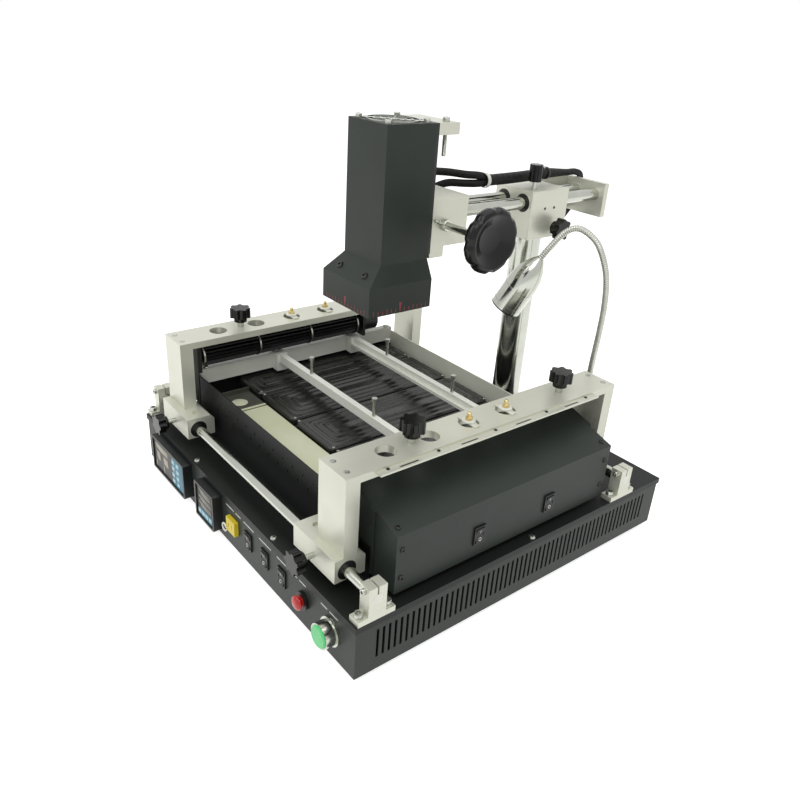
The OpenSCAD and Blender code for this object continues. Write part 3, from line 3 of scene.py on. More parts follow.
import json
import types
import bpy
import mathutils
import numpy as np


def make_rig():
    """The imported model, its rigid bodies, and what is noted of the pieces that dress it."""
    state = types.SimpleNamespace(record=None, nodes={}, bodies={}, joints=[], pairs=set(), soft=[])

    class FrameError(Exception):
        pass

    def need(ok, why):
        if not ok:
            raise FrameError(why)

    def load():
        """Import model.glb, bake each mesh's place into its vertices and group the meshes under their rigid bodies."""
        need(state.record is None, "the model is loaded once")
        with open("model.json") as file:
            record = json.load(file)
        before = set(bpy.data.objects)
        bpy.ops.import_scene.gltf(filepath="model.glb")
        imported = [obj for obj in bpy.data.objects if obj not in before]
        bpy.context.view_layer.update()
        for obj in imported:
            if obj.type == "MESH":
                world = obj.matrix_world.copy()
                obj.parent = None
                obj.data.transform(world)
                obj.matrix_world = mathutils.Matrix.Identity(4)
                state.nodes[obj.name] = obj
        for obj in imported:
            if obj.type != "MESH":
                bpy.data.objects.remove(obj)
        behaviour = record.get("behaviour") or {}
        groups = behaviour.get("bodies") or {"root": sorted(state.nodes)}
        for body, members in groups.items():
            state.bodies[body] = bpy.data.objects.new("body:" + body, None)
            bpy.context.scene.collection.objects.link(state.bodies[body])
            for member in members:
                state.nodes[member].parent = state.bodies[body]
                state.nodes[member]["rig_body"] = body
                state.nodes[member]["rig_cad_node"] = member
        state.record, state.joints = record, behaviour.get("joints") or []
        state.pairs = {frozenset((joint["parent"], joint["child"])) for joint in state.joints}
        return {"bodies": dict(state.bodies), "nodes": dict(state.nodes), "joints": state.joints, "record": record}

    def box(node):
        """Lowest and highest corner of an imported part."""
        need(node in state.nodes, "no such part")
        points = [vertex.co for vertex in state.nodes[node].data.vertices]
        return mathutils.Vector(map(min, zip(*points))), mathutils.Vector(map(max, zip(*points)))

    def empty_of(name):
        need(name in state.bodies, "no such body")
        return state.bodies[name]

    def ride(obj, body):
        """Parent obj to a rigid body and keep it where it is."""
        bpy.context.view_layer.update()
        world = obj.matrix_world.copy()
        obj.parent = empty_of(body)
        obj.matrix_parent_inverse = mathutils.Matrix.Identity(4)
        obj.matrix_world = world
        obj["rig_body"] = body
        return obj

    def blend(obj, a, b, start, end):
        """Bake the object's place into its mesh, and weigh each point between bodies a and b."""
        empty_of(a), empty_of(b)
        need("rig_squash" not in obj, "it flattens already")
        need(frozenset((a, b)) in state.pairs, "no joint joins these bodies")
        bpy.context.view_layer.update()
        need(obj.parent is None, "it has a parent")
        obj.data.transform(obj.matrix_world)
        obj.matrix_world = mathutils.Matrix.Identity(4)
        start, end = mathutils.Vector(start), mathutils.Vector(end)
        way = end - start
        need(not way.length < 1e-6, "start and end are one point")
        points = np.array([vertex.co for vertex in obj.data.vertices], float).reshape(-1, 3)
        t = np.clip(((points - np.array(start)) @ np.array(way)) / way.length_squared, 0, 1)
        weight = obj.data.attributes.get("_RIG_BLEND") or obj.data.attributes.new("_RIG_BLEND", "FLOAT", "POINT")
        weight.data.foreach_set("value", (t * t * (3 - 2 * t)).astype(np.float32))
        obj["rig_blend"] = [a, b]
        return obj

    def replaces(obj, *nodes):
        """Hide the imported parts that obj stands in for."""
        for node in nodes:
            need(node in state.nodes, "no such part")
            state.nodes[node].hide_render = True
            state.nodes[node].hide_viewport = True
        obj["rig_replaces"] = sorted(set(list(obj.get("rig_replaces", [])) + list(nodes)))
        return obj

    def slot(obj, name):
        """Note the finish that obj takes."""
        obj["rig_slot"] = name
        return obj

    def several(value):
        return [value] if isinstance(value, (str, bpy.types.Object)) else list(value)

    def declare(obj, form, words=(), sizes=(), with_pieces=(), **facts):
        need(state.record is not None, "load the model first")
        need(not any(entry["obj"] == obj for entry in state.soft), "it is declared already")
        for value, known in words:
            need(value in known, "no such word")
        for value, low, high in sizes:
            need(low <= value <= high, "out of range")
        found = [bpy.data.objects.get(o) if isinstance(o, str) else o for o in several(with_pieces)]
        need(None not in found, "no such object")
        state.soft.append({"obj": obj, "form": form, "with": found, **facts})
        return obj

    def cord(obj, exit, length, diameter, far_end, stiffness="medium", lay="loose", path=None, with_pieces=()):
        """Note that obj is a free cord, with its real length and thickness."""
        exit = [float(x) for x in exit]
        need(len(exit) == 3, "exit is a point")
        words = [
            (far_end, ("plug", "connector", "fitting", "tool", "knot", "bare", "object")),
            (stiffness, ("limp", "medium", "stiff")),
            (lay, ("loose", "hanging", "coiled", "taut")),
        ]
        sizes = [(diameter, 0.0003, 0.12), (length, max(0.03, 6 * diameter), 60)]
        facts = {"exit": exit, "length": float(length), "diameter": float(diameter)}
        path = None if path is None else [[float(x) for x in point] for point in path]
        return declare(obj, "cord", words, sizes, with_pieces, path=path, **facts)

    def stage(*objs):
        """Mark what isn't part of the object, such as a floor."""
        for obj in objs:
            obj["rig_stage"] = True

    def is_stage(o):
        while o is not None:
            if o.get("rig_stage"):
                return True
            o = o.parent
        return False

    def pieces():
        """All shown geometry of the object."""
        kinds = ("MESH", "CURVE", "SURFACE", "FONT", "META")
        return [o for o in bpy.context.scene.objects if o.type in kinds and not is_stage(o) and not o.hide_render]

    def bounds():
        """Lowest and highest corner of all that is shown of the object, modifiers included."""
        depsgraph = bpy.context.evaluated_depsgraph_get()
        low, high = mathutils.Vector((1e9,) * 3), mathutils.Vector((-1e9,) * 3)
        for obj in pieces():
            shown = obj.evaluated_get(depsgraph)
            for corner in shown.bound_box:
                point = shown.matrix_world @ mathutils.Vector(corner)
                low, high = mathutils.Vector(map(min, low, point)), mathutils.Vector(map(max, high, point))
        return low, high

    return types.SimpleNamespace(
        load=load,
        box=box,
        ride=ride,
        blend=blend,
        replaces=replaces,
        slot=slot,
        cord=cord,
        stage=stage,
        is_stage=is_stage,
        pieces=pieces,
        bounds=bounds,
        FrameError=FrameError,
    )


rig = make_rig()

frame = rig.load()

import json
import math

import bmesh
import bpy
from mathutils import Matrix, Vector

CAD_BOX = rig.bounds()
MM = 0.001
UP = Vector((0, 0, 1))
FRONT = Vector((0, -1, 0))
RIGHT = Vector((1, 0, 0))
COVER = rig.box("top_cover")
MIDDLE = Vector((0, (COVER[0][1] + COVER[1][1]) / 2, 0))

# Places in millimetres, with x and y from the middle of the base and z from the floor
COLUMN_Y = 197
# The arm's shafts lie this far to each side, and the top plate's bolt has this x and y
ARM_SHAFT_X = 16
TOP_BOLT = (24, 22)
# Rise of the right fan housing's roof over its width
ROOF_SLOPE = 23 / 77
# The drive shaft's axis runs along X through this point
WHEEL_AXIS = Vector((0, 24.25, 360))
NECK_ROUTE = (
    (127, 205, 84), (127, 205, 110), (128, 205, 150), (129, 205, 190), (131, 205, 235), (132, 203, 272),
    (129, 199, 306), (120, 190, 336), (108, 182, 350), (94, 176, 354), (82, 169, 346), (72, 160, 328),
    (64, 154, 312),
)
LAMP_NECK_END = Vector(NECK_ROUTE[-1])
LAMP_TIP = Vector((36, 135, 246))
UPPER_STRAND = (
    (-34, -14, 406), (-42, -14, 406), (-51, -11, 406), (-57, -5, 406), (-60, 5, 405), (-59, 22, 404),
    (-54, 42, 403), (-44, 62, 402), (-30, 80, 402), (-15, 94, 401), (-5, 105, 401), (0, 119, 398),
)
LOWER_STRAND = (
    (-34, -14, 350), (-42, -14, 350), (-51, -11, 350), (-57, -5, 351), (-60, 5, 352), (-59, 22, 357),
    (-54, 42, 366), (-44, 62, 379), (-30, 78, 389.5), (-15, 93, 391), (-5, 105, 392), (0, 119, 394),
)
BUNDLE_ROUTE = (
    (0, 112, 396), (0, 135, 396), (-1, 165, 396), (-4, 195, 396), (-8, 225, 396), (-13, 255, 394),
    (-18, 280, 392), (-21, 300, 391), (-23, 313, 386), (-28, 322, 372), (-34, 324, 356), (-36, 319, 341),
    (-34, 307, 332), (-26, 290, 329), (-15, 273, 331), (-5, 256, 337), (0, 242, 340), (0, 232, 340),
    (0, 222, 340),
)
# The bundle ends and its core goes on at this point of the route
BUNDLE_END = 9

bl_info = {
    "name": "Infrared Rework Station",
    "version": (1, 0, 0),
    "blender": (4, 5, 0),
    "location": "3D View > Sidebar > Rework",
    "description": "Finishes, small parts and studio for an infrared rework station",
    "category": "Object",
}


# Places


def spot(x, y, z):
    """A point in metres, from millimetres measured from the middle of the base."""
    return MIDDLE + MM * Vector((x, y, z))


def span(node):
    """Lowest and highest corner of a solid, in millimetres from the middle of the base."""
    return [(Vector(corner) - MIDDLE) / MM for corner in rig.box(node)]


# Colours and materials


def linear(code):
    """Linear RGBA of an sRGB hex colour."""
    parts = [int(code[i : i + 2], 16) / 255 for i in (1, 3, 5)]
    return (*[c / 12.92 if c <= 0.04045 else ((c + 0.055) / 1.055) ** 2.4 for c in parts], 1.0)


def add_node(tree, kind, links=None, **settings):
    """Add a node, set its sockets and properties, and link its sockets from (node, output) pairs."""
    node = tree.nodes.new(kind)
    for key, value in settings.items():
        if hasattr(node, key):
            setattr(node, key, value)
        else:
            node.inputs[key.replace("_", " ")].default_value = value
    for socket, (source, output) in (links or {}).items():
        tree.links.new(source.outputs[output], node.inputs[socket])
    return node


def start_material(name):
    """An empty node material, with its shader and object coordinates."""
    material = bpy.data.materials.get(name)
    if material:
        return material, None, None, None
    material = bpy.data.materials.new(name)
    material.use_nodes = True
    tree = material.node_tree
    return material, tree, tree.nodes["Principled BSDF"], add_node(tree, "ShaderNodeTexCoord")


def coated(
    name, colour, shade, roughness, spread, grain, depth, mottle, metallic=0.0, ior=1.5, stretch=(1, 1, 1)
):
    """A surface with a fine grain and broad mottling, both sized in millimetres.

    The grain stands out by depth and varies the roughness by spread; mottling goes from colour to shade.
    """
    material, tree, shader, place = start_material(name)
    if tree is None:
        return material
    along = add_node(tree, "ShaderNodeMapping", {"Vector": (place, "Object")}, Scale=stretch)
    way = {"Vector": (along, "Vector")}
    fine = add_node(tree, "ShaderNodeTexNoise", way, Scale=1 / (grain * MM), Detail=3.0)
    broad = add_node(tree, "ShaderNodeTexNoise", way, Scale=1 / (mottle * MM), Detail=4.0)
    tone = add_node(tree, "ShaderNodeMapRange", {"Value": (broad, "Fac")}, From_Min=0.3, From_Max=0.7)
    mixed = add_node(
        tree, "ShaderNodeMixRGB", {"Fac": (tone, "Result")}, Color1=linear(colour), Color2=linear(shade)
    )
    gloss = add_node(
        tree,
        "ShaderNodeMapRange",
        {"Value": (fine, "Fac")},
        From_Min=0.3,
        From_Max=0.7,
        To_Min=roughness - spread,
        To_Max=roughness + spread,
    )
    relief = add_node(tree, "ShaderNodeBump", {"Height": (fine, "Fac")}, Strength=0.6, Distance=depth * MM)
    tree.links.new(mixed.outputs["Color"], shader.inputs["Base Color"])
    tree.links.new(gloss.outputs["Result"], shader.inputs["Roughness"])
    tree.links.new(relief.outputs["Normal"], shader.inputs["Normal"])
    shader.inputs["Metallic"].default_value = metallic
    if not metallic:
        shader.inputs["IOR"].default_value = ior
    return material


def powder_coat():
    """Baked powder coat on sheet steel: dark grey with a green cast and a fine orange peel."""
    look = bpy.context.scene.rework_look
    return coated(
        "powder_coat_baked", look.coat, "#2f3531",
        roughness=0.46, spread=0.04, grain=1.1, depth=0.02, mottle=40, ior=1.33,
    )


def shaded_coat():
    """The same powder coat on the top cover and the tray, made darker as painted shade, with hardly any shine."""
    return coated(
        "powder_coat_painted_shade", "#1c1f1d", "#191b1a",
        roughness=0.46, spread=0.04, grain=1.1, depth=0.02, mottle=40, ior=1.3,
    )


def anodised():
    """Milled aluminium, blasted and anodised: a warm pale tint, silky, with faint milling marks."""
    look = bpy.context.scene.rework_look
    return coated(
        "aluminium_anodised", look.alloy, "#d2d3c4",
        roughness=0.36, spread=0.04, grain=0.7, depth=0.004, mottle=55, metallic=0.4, stretch=(1, 0.25, 1),
    )


def extruded_painted_light():
    """Drawn and brushed aluminium bar with long draw lines, painted nearly white: painted light, for the light that
    falls on it inside the tray.
    """
    return coated(
        "aluminium_drawn_painted_light", "#f6f7ee", "#eeefe4",
        roughness=0.34, spread=0.04, grain=0.6, depth=0.002, mottle=30, stretch=(0.06, 1, 1),
    )


def ground_steel():
    """Ground and chrome-plated bar: a mirror with hardly visible grinding rings."""
    return coated(
        "steel_ground_chromed", "#bcbeb5", "#b2b4ab",
        roughness=0.15, spread=0.03, grain=0.6, depth=0.0005, mottle=25, metallic=1.0,
    )


def plated_steel():
    """Zinc-plated steel for screws, studs and guides: bright, a little cloudy."""
    return coated(
        "steel_zinc_plated", "#bfc1b9", "#abaea5",
        roughness=0.27, spread=0.06, grain=0.8, depth=0.002, mottle=9, metallic=0.9,
    )


def blackened_steel():
    """Blackened screws and painted motor cans: dark with a soft sheen."""
    return coated(
        "steel_blackened", "#171918", "#121413",
        roughness=0.38, spread=0.06, grain=0.6, depth=0.004, mottle=12, metallic=0.1,
    )


def brass():
    """Turned brass screws: yellow metal with a fine lathe grain."""
    return coated(
        "brass_turned", "#dccb98", "#cdb67c",
        roughness=0.26, spread=0.06, grain=0.5, depth=0.002, mottle=6, metallic=0.9,
    )


def bakelite():
    """Moulded phenolic knobs: near black, glossy, with slight flow marks."""
    return coated(
        "phenolic_moulded", "#0b0c0b", "#101110",
        roughness=0.2, spread=0.04, grain=1.4, depth=0.004, mottle=18, ior=1.36,
    )


def moulded_black():
    """Moulded black polyamide for switches, bezels and bushes: satin, with a spark-eroded grain."""
    return coated(
        "polyamide_moulded", "#111212", "#171818",
        roughness=0.42, spread=0.05, grain=0.45, depth=0.006, mottle=15, ior=1.44,
    )


def moulded_grey():
    """Moulded ABS of the panel controllers: charcoal, satin."""
    return coated(
        "abs_moulded_charcoal", "#131616", "#191c1c",
        roughness=0.4, spread=0.05, grain=0.5, depth=0.005, mottle=20, ior=1.44,
    )


def rubber():
    """Moulded rubber feet: dull black."""
    return coated(
        "rubber_moulded", "#1a1a19", "#222221",
        roughness=0.78, spread=0.06, grain=0.6, depth=0.03, mottle=12,
    )


def ceramic():
    """Black glazed ceramic heaters: a soft shine along the ridges, and a little dust."""
    return coated(
        "ceramic_glazed_black", "#20201d", "#272724",
        roughness=0.26, spread=0.03, grain=0.9, depth=0.002, mottle=30, ior=1.5,
    )


def liner_sheet():
    """Zinc-coated liner sheet, yellowed by heat: pale olive cream, half dull."""
    return coated(
        "sheet_zinc_heat_tinted", "#cfd1ad", "#d8dabf",
        roughness=0.38, spread=0.05, grain=1.5, depth=0.004, mottle=60, metallic=0.1,
    )


def lit_rear_sheet():
    """The same sheet on the tray's rear wall, painted bright and pale: painted light, for the light that falls on the
    wall from the front.
    """
    return coated(
        "sheet_zinc_painted_light", "#f4f6e8", "#ecefdd",
        roughness=0.36, spread=0.05, grain=1.5, depth=0.004, mottle=60, metallic=0.1,
    )


def circuit_board():
    """Solder-masked board and relays inside the base: dull green."""
    return coated(
        "board_solder_masked", "#2f5a3a", "#3a6744",
        roughness=0.45, spread=0.08, grain=0.8, depth=0.02, mottle=8,
    )


def coloured(name, colour, shade, roughness):
    """Moulded coloured plastic: a clear even gloss."""
    return coated(
        name, colour, shade,
        roughness=roughness, spread=0.05, grain=0.7, depth=0.008, mottle=14, ior=1.52,
    )


def lamp_face():
    """Moulded acrylic over the lamp's diodes: clear over black, so it looks black and wet."""
    return coated(
        "acrylic_moulded_lens", "#141617", "#1c1f20",
        roughness=0.14, spread=0.05, grain=0.8, depth=0.004, mottle=10, ior=1.49,
    )


def window_print_and_reflection():
    """Printed acrylic windows of the controllers, switched off: beige print, with the room's light painted into the
    colour as a painted reflection.
    """
    return coated(
        "acrylic_printed_beige_and_reflection", "#9c937f", "#aca390",
        roughness=0.25, spread=0.05, grain=0.9, depth=0.002, mottle=14, ior=1.4,
    )


def window_dim():
    """The small controller's window: the same print, darker behind a smoked front."""
    return coated(
        "acrylic_smoked_beige", "#5c584c", "#6b6659",
        roughness=0.25, spread=0.05, grain=0.9, depth=0.002, mottle=14, ior=1.4,
    )


def key_field():
    """Printed polyester round the keys: clear blue."""
    return coated(
        "polyester_printed_blue", "#2c7791", "#34829c",
        roughness=0.35, spread=0.05, grain=0.6, depth=0.004, mottle=9,
    )


def key_caps():
    """Moulded silicone keys: pale blue, soft."""
    return coated(
        "silicone_moulded_blue", "#bcdbe4", "#cbe5ec",
        roughness=0.5, spread=0.05, grain=0.5, depth=0.01, mottle=6, ior=1.43,
    )


def white_nylon():
    """Moulded white nylon for ties, washers and diodes: slightly waxy."""
    return coated(
        "nylon_moulded_white", "#eceee6", "#dfe1d8",
        roughness=0.36, spread=0.05, grain=0.7, depth=0.008, mottle=8, ior=1.53,
    )


def white_print():
    """Screen-printed white ink: flat, a little uneven."""
    return coated(
        "ink_printed_white", "#e9eae6", "#d6d8d3",
        roughness=0.55, spread=0.06, grain=0.4, depth=0.006, mottle=5,
    )


def red_print():
    """Screen-printed red ink on the coat: worn and dusty."""
    return coated(
        "ink_printed_red", "#9c3a45", "#84323b",
        roughness=0.55, spread=0.06, grain=0.4, depth=0.006, mottle=5,
    )


def zinc_bracket():
    """Galvanised bracket in the tray: grey and clouded."""
    return coated(
        "steel_galvanised", "#4b4c43", "#585950",
        roughness=0.42, spread=0.06, grain=0.9, depth=0.004, mottle=12, metallic=0.3,
    )


def wound_steel():
    """Wound stainless strip of the lamp's neck: bright with a satin grain."""
    return coated(
        "steel_wound_strip", "#b9bab2", "#acaea5",
        roughness=0.24, spread=0.05, grain=0.6, depth=0.002, mottle=14, metallic=1.0,
    )


def braided_sleeve():
    """Braided polyester sleeve: black with crossing strands, which repeat every 9.4 mm so that they show."""
    material, tree, shader, place = start_material("polyester_braided")
    if tree is None:
        return material
    repeat = 9.425 * MM
    wave = {"bands_direction": "DIAGONAL", "Scale": 2 * math.pi / 10 / repeat}
    one = add_node(tree, "ShaderNodeTexWave", {"Vector": (place, "Object")}, **wave)
    turned = add_node(tree, "ShaderNodeMapping", {"Vector": (place, "Object")}, Scale=(1, -1, 1))
    two = add_node(tree, "ShaderNodeTexWave", {"Vector": (turned, "Vector")}, **wave)
    cross = add_node(tree, "ShaderNodeMath", {0: (one, "Fac"), 1: (two, "Fac")}, operation="MULTIPLY")
    shades = {"Color1": linear("#0b0c0b"), "Color2": linear("#1b1c1a")}
    strand = add_node(tree, "ShaderNodeMixRGB", {"Fac": (cross, "Value")}, **shades)
    relief = add_node(tree, "ShaderNodeBump", {"Height": (cross, "Value")}, Strength=0.5, Distance=0.4 * MM)
    tree.links.new(strand.outputs["Color"], shader.inputs["Base Color"])
    tree.links.new(relief.outputs["Normal"], shader.inputs["Normal"])
    shader.inputs["Roughness"].default_value = 0.65
    shader.inputs["IOR"].default_value = 1.35
    return material


# Mesh tools

# Points of a mesh that are closer than this are joined
WELD = 0.0001 * MM


def round_ring(angle):
    """A plain circle."""
    return 1.0


def hex_ring(angle):
    """A hexagon, as a share of its corner radius."""
    return math.cos(math.pi / 6) / math.cos(angle % (math.pi / 3) - math.pi / 6)


def gear_ring(angle):
    """Sixteen gear teeth, as a share of the tip radius; one tooth stands at angle 0."""
    pitch = math.pi / 8
    lean = math.degrees(abs((angle + pitch / 2) % pitch - pitch / 2))
    return 1 - 0.25 * min(max((lean - 2.3) / 5.3, 0), 1)


def grip_ring(angle):
    """A round rim with eight shallow finger notches."""
    return 1 - 0.055 * max(math.cos(8 * angle), 0) ** 2


def cross_ring(angle):
    """A cross recess, as a share of its arm length."""
    lean = abs((angle + math.pi / 4) % (math.pi / 2) - math.pi / 4)
    return min(1.0, 0.3 / max(math.sin(lean), 1e-6))


def turn(mesh, rows, place, sides=32):
    """Turn (radius, height, ring shape) rows about +Z of a placing matrix, as a solid with closed ends.

    Rows that end as they start make a ring instead.
    """
    rings = []
    for radius, height, shape in rows:
        if radius == 0:
            rings.append([mesh.verts.new(place @ Vector((0, 0, height)))])
            continue
        ring = []
        for k in range(sides):
            angle = 2 * math.pi * k / sides
            reach = radius * shape(angle)
            point = Vector((reach * math.cos(angle), reach * math.sin(angle), height))
            ring.append(mesh.verts.new(place @ point))
        rings.append(ring)
    for low, high in zip(rings, rings[1:]):
        for k in range(sides):
            n = (k + 1) % sides
            corners = [low[k % len(low)], low[n % len(low)], high[n % len(high)], high[k % len(high)]]
            face = list(dict.fromkeys(corners))
            if len(face) > 2:
                mesh.faces.new(face)
    if rows[0] != rows[-1]:
        for ring in (rings[0], rings[-1]):
            if len(ring) > 1:
                mesh.faces.new(ring)


def rounds(rows, loop=False):
    """Round rows for turn, from (radius, height) in millimetres; a loop ends where it starts."""
    return [(r * MM, h * MM, round_ring) for r, h in (rows + rows[:1] if loop else rows)]


def shaped(rows):
    """Rows for turn, from (radius, height, ring shape) in millimetres."""
    return [(r * MM, h * MM, shape) for r, h, shape in rows]


def slab(mesh, low, high, soften=0.0):
    """A box between two corners, with softened edges."""
    size = Vector(high) - Vector(low)
    middle = (Vector(high) + Vector(low)) / 2
    place = Matrix.Translation(middle) @ Matrix.Diagonal((*size, 1))
    made = bmesh.ops.create_cube(mesh, size=1.0, matrix=place)
    if soften:
        edges = list({edge for vert in made["verts"] for edge in vert.link_edges})
        bmesh.ops.bevel(mesh, geom=edges, offset=soften, segments=2, profile=0.5, affect="EDGES")


def smooth_route(points, steps):
    """Points on a smooth curve through a route."""
    route = [Vector(p) for p in points]
    path = []
    for i in range(len(route) - 1):
        a, b, c, d = route[max(i - 1, 0)], route[i], route[i + 1], route[min(i + 2, len(route) - 1)]
        for k in range(steps):
            t = k / steps
            bend = (2 * a - 5 * b + 4 * c - d) * t**2
            twist = (3 * b - a - 3 * c + d) * t**3
            path.append(0.5 * (2 * b + (c - a) * t + bend + twist))
    return path + [route[-1]]


def prism(mesh, outlines):
    """A solid between two outlines with as many points, in millimetres."""
    near, far = ([mesh.verts.new(spot(*point)) for point in outline] for outline in outlines)
    for k in range(len(near)):
        n = (k + 1) % len(near)
        mesh.faces.new((near[k], near[n], far[n], far[k]))
    mesh.faces.new(near)
    mesh.faces.new(far)


def sweep(mesh, path, radius, across, sides=16):
    """A tube along a path; radius is a function of the length run and the angle."""
    across = Vector(across)
    rings = []
    run = 0.0
    for i, point in enumerate(path):
        if i:
            run += (point - path[i - 1]).length
        way = (path[min(i + 1, len(path) - 1)] - path[max(i - 1, 0)]).normalized()
        side = way.cross(across).normalized()
        up = side.cross(way)
        ring = []
        for k in range(sides):
            angle = 2 * math.pi * k / sides
            reach = radius(run, angle)
            ring.append(mesh.verts.new(point + reach * (math.cos(angle) * side + math.sin(angle) * up)))
        rings.append(ring)
    for low, high in zip(rings, rings[1:]):
        for k in range(sides):
            n = (k + 1) % sides
            mesh.faces.new((low[k], low[n], high[n], high[k]))
    mesh.faces.new(rings[0])
    mesh.faces.new(rings[-1])


def piece(name, mesh, material, slot, body=None, crease=35.0):
    """An object from a built mesh, with its finish; it rides on a body if one is given."""
    bmesh.ops.remove_doubles(mesh, verts=mesh.verts, dist=WELD)
    bmesh.ops.recalc_face_normals(mesh, faces=mesh.faces)
    data = bpy.data.meshes.new(name)
    mesh.to_mesh(data)
    mesh.free()
    data.shade_smooth()
    data.set_sharp_from_angle(angle=math.radians(crease))
    data.materials.append(material)
    thing = bpy.data.objects.new(name, data)
    bpy.context.collection.objects.link(thing)
    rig.slot(thing, slot)
    if body:
        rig.ride(thing, body)
    return thing


def facing(point, normal):
    """A matrix that puts +Z along a normal at a point."""
    return Matrix.Translation(Vector(point)) @ Vector(normal).to_track_quat("Z", "Y").to_matrix().to_4x4()


def cap_screw(mesh, point, normal, head):
    """A socket cap screw: its head stands on the point."""
    r, h = head / 2, head * 0.55
    rows = [
        (r, 0, round_ring),
        (r, h * 0.85, round_ring),
        (r * 0.88, h, round_ring),
        (r * 0.56, h, hex_ring),
        (r * 0.56, h * 0.4, hex_ring),
        (0, h * 0.4, round_ring),
    ]
    turn(mesh, rows, facing(point, normal), 24)


def pan_screw(mesh, point, normal, head):
    """A pan-head screw with a cross recess."""
    r, h = head / 2, head * 0.3
    rows = [
        (r, 0, round_ring),
        (r * 0.97, h * 0.45, round_ring),
        (r * 0.8, h * 0.85, round_ring),
        (r * 0.55, h, cross_ring),
        (r * 0.4, h * 0.2, cross_ring),
        (0, h * 0.2, round_ring),
    ]
    turn(mesh, rows, facing(point, normal), 32)


def flat_screw(mesh, point, normal, head):
    """A countersunk screw, flush but for a hair, with a hexagon socket."""
    r = head / 2
    rows = [
        (r, -0.02 * MM, round_ring),
        (r, 0.15 * MM, round_ring),
        (r * 0.92, 0.25 * MM, round_ring),
        (r * 0.5, 0.25 * MM, hex_ring),
        (r * 0.46, 0.08 * MM, hex_ring),
        (0, 0.08 * MM, round_ring),
    ]
    turn(mesh, rows, facing(point, normal), 24)


def paint(node, material, test):
    """Give another finish to the faces of a solid whose middle, in millimetres, and normal pass a test."""
    data = frame["nodes"][node].data
    data.materials.append(material)
    index = len(data.materials) - 1
    for face in data.polygons:
        if test((face.center - MIDDLE) / MM, face.normal):
            face.material_index = index


def ease(t):
    """A smooth step from 0 to 1."""
    t = min(max(t, 0.0), 1.0)
    return t * t * (3 - 2 * t)


def evenly(start, end, step):
    """Evenly spaced values from start to end, about a step apart."""
    count = max(1, round((end - start) / step))
    return [start + (end - start) * i / count for i in range(count + 1)]


# Settings


class ReworkLook(bpy.types.PropertyGroup):
    """Colours of the finishes."""

    coat: bpy.props.StringProperty(
        name="Coat", description="Powder coat colour, sRGB hex", default="#2b312d"
    )
    alloy: bpy.props.StringProperty(
        name="Alloy", description="Anodised aluminium colour, sRGB hex", default="#dddecf"
    )


class ReworkSizes(bpy.types.PropertyGroup):
    """Sizes of the small parts."""

    edge: bpy.props.FloatProperty(
        name="Edge", description="Softening of machined edges", default=0.5 * MM, unit="LENGTH"
    )
    ridge_pitch: bpy.props.FloatProperty(
        name="Ridge pitch", description="Distance between heater ridges", default=9.5 * MM, unit="LENGTH"
    )
    ridge_rise: bpy.props.FloatProperty(
        name="Ridge rise", description="Height of the heater ridges", default=1.5 * MM, unit="LENGTH"
    )
    conduit_pitch: bpy.props.FloatProperty(
        name="Conduit pitch", description="Pitch of the lamp neck's winding", default=2.6 * MM, unit="LENGTH"
    )
    cable: bpy.props.FloatProperty(
        name="Cable", description="Diameter of the head cable", default=14 * MM, unit="LENGTH"
    )
    strand: bpy.props.FloatProperty(
        name="Strand", description="Diameter of each strand of the cable", default=9 * MM, unit="LENGTH"
    )


# Pieces


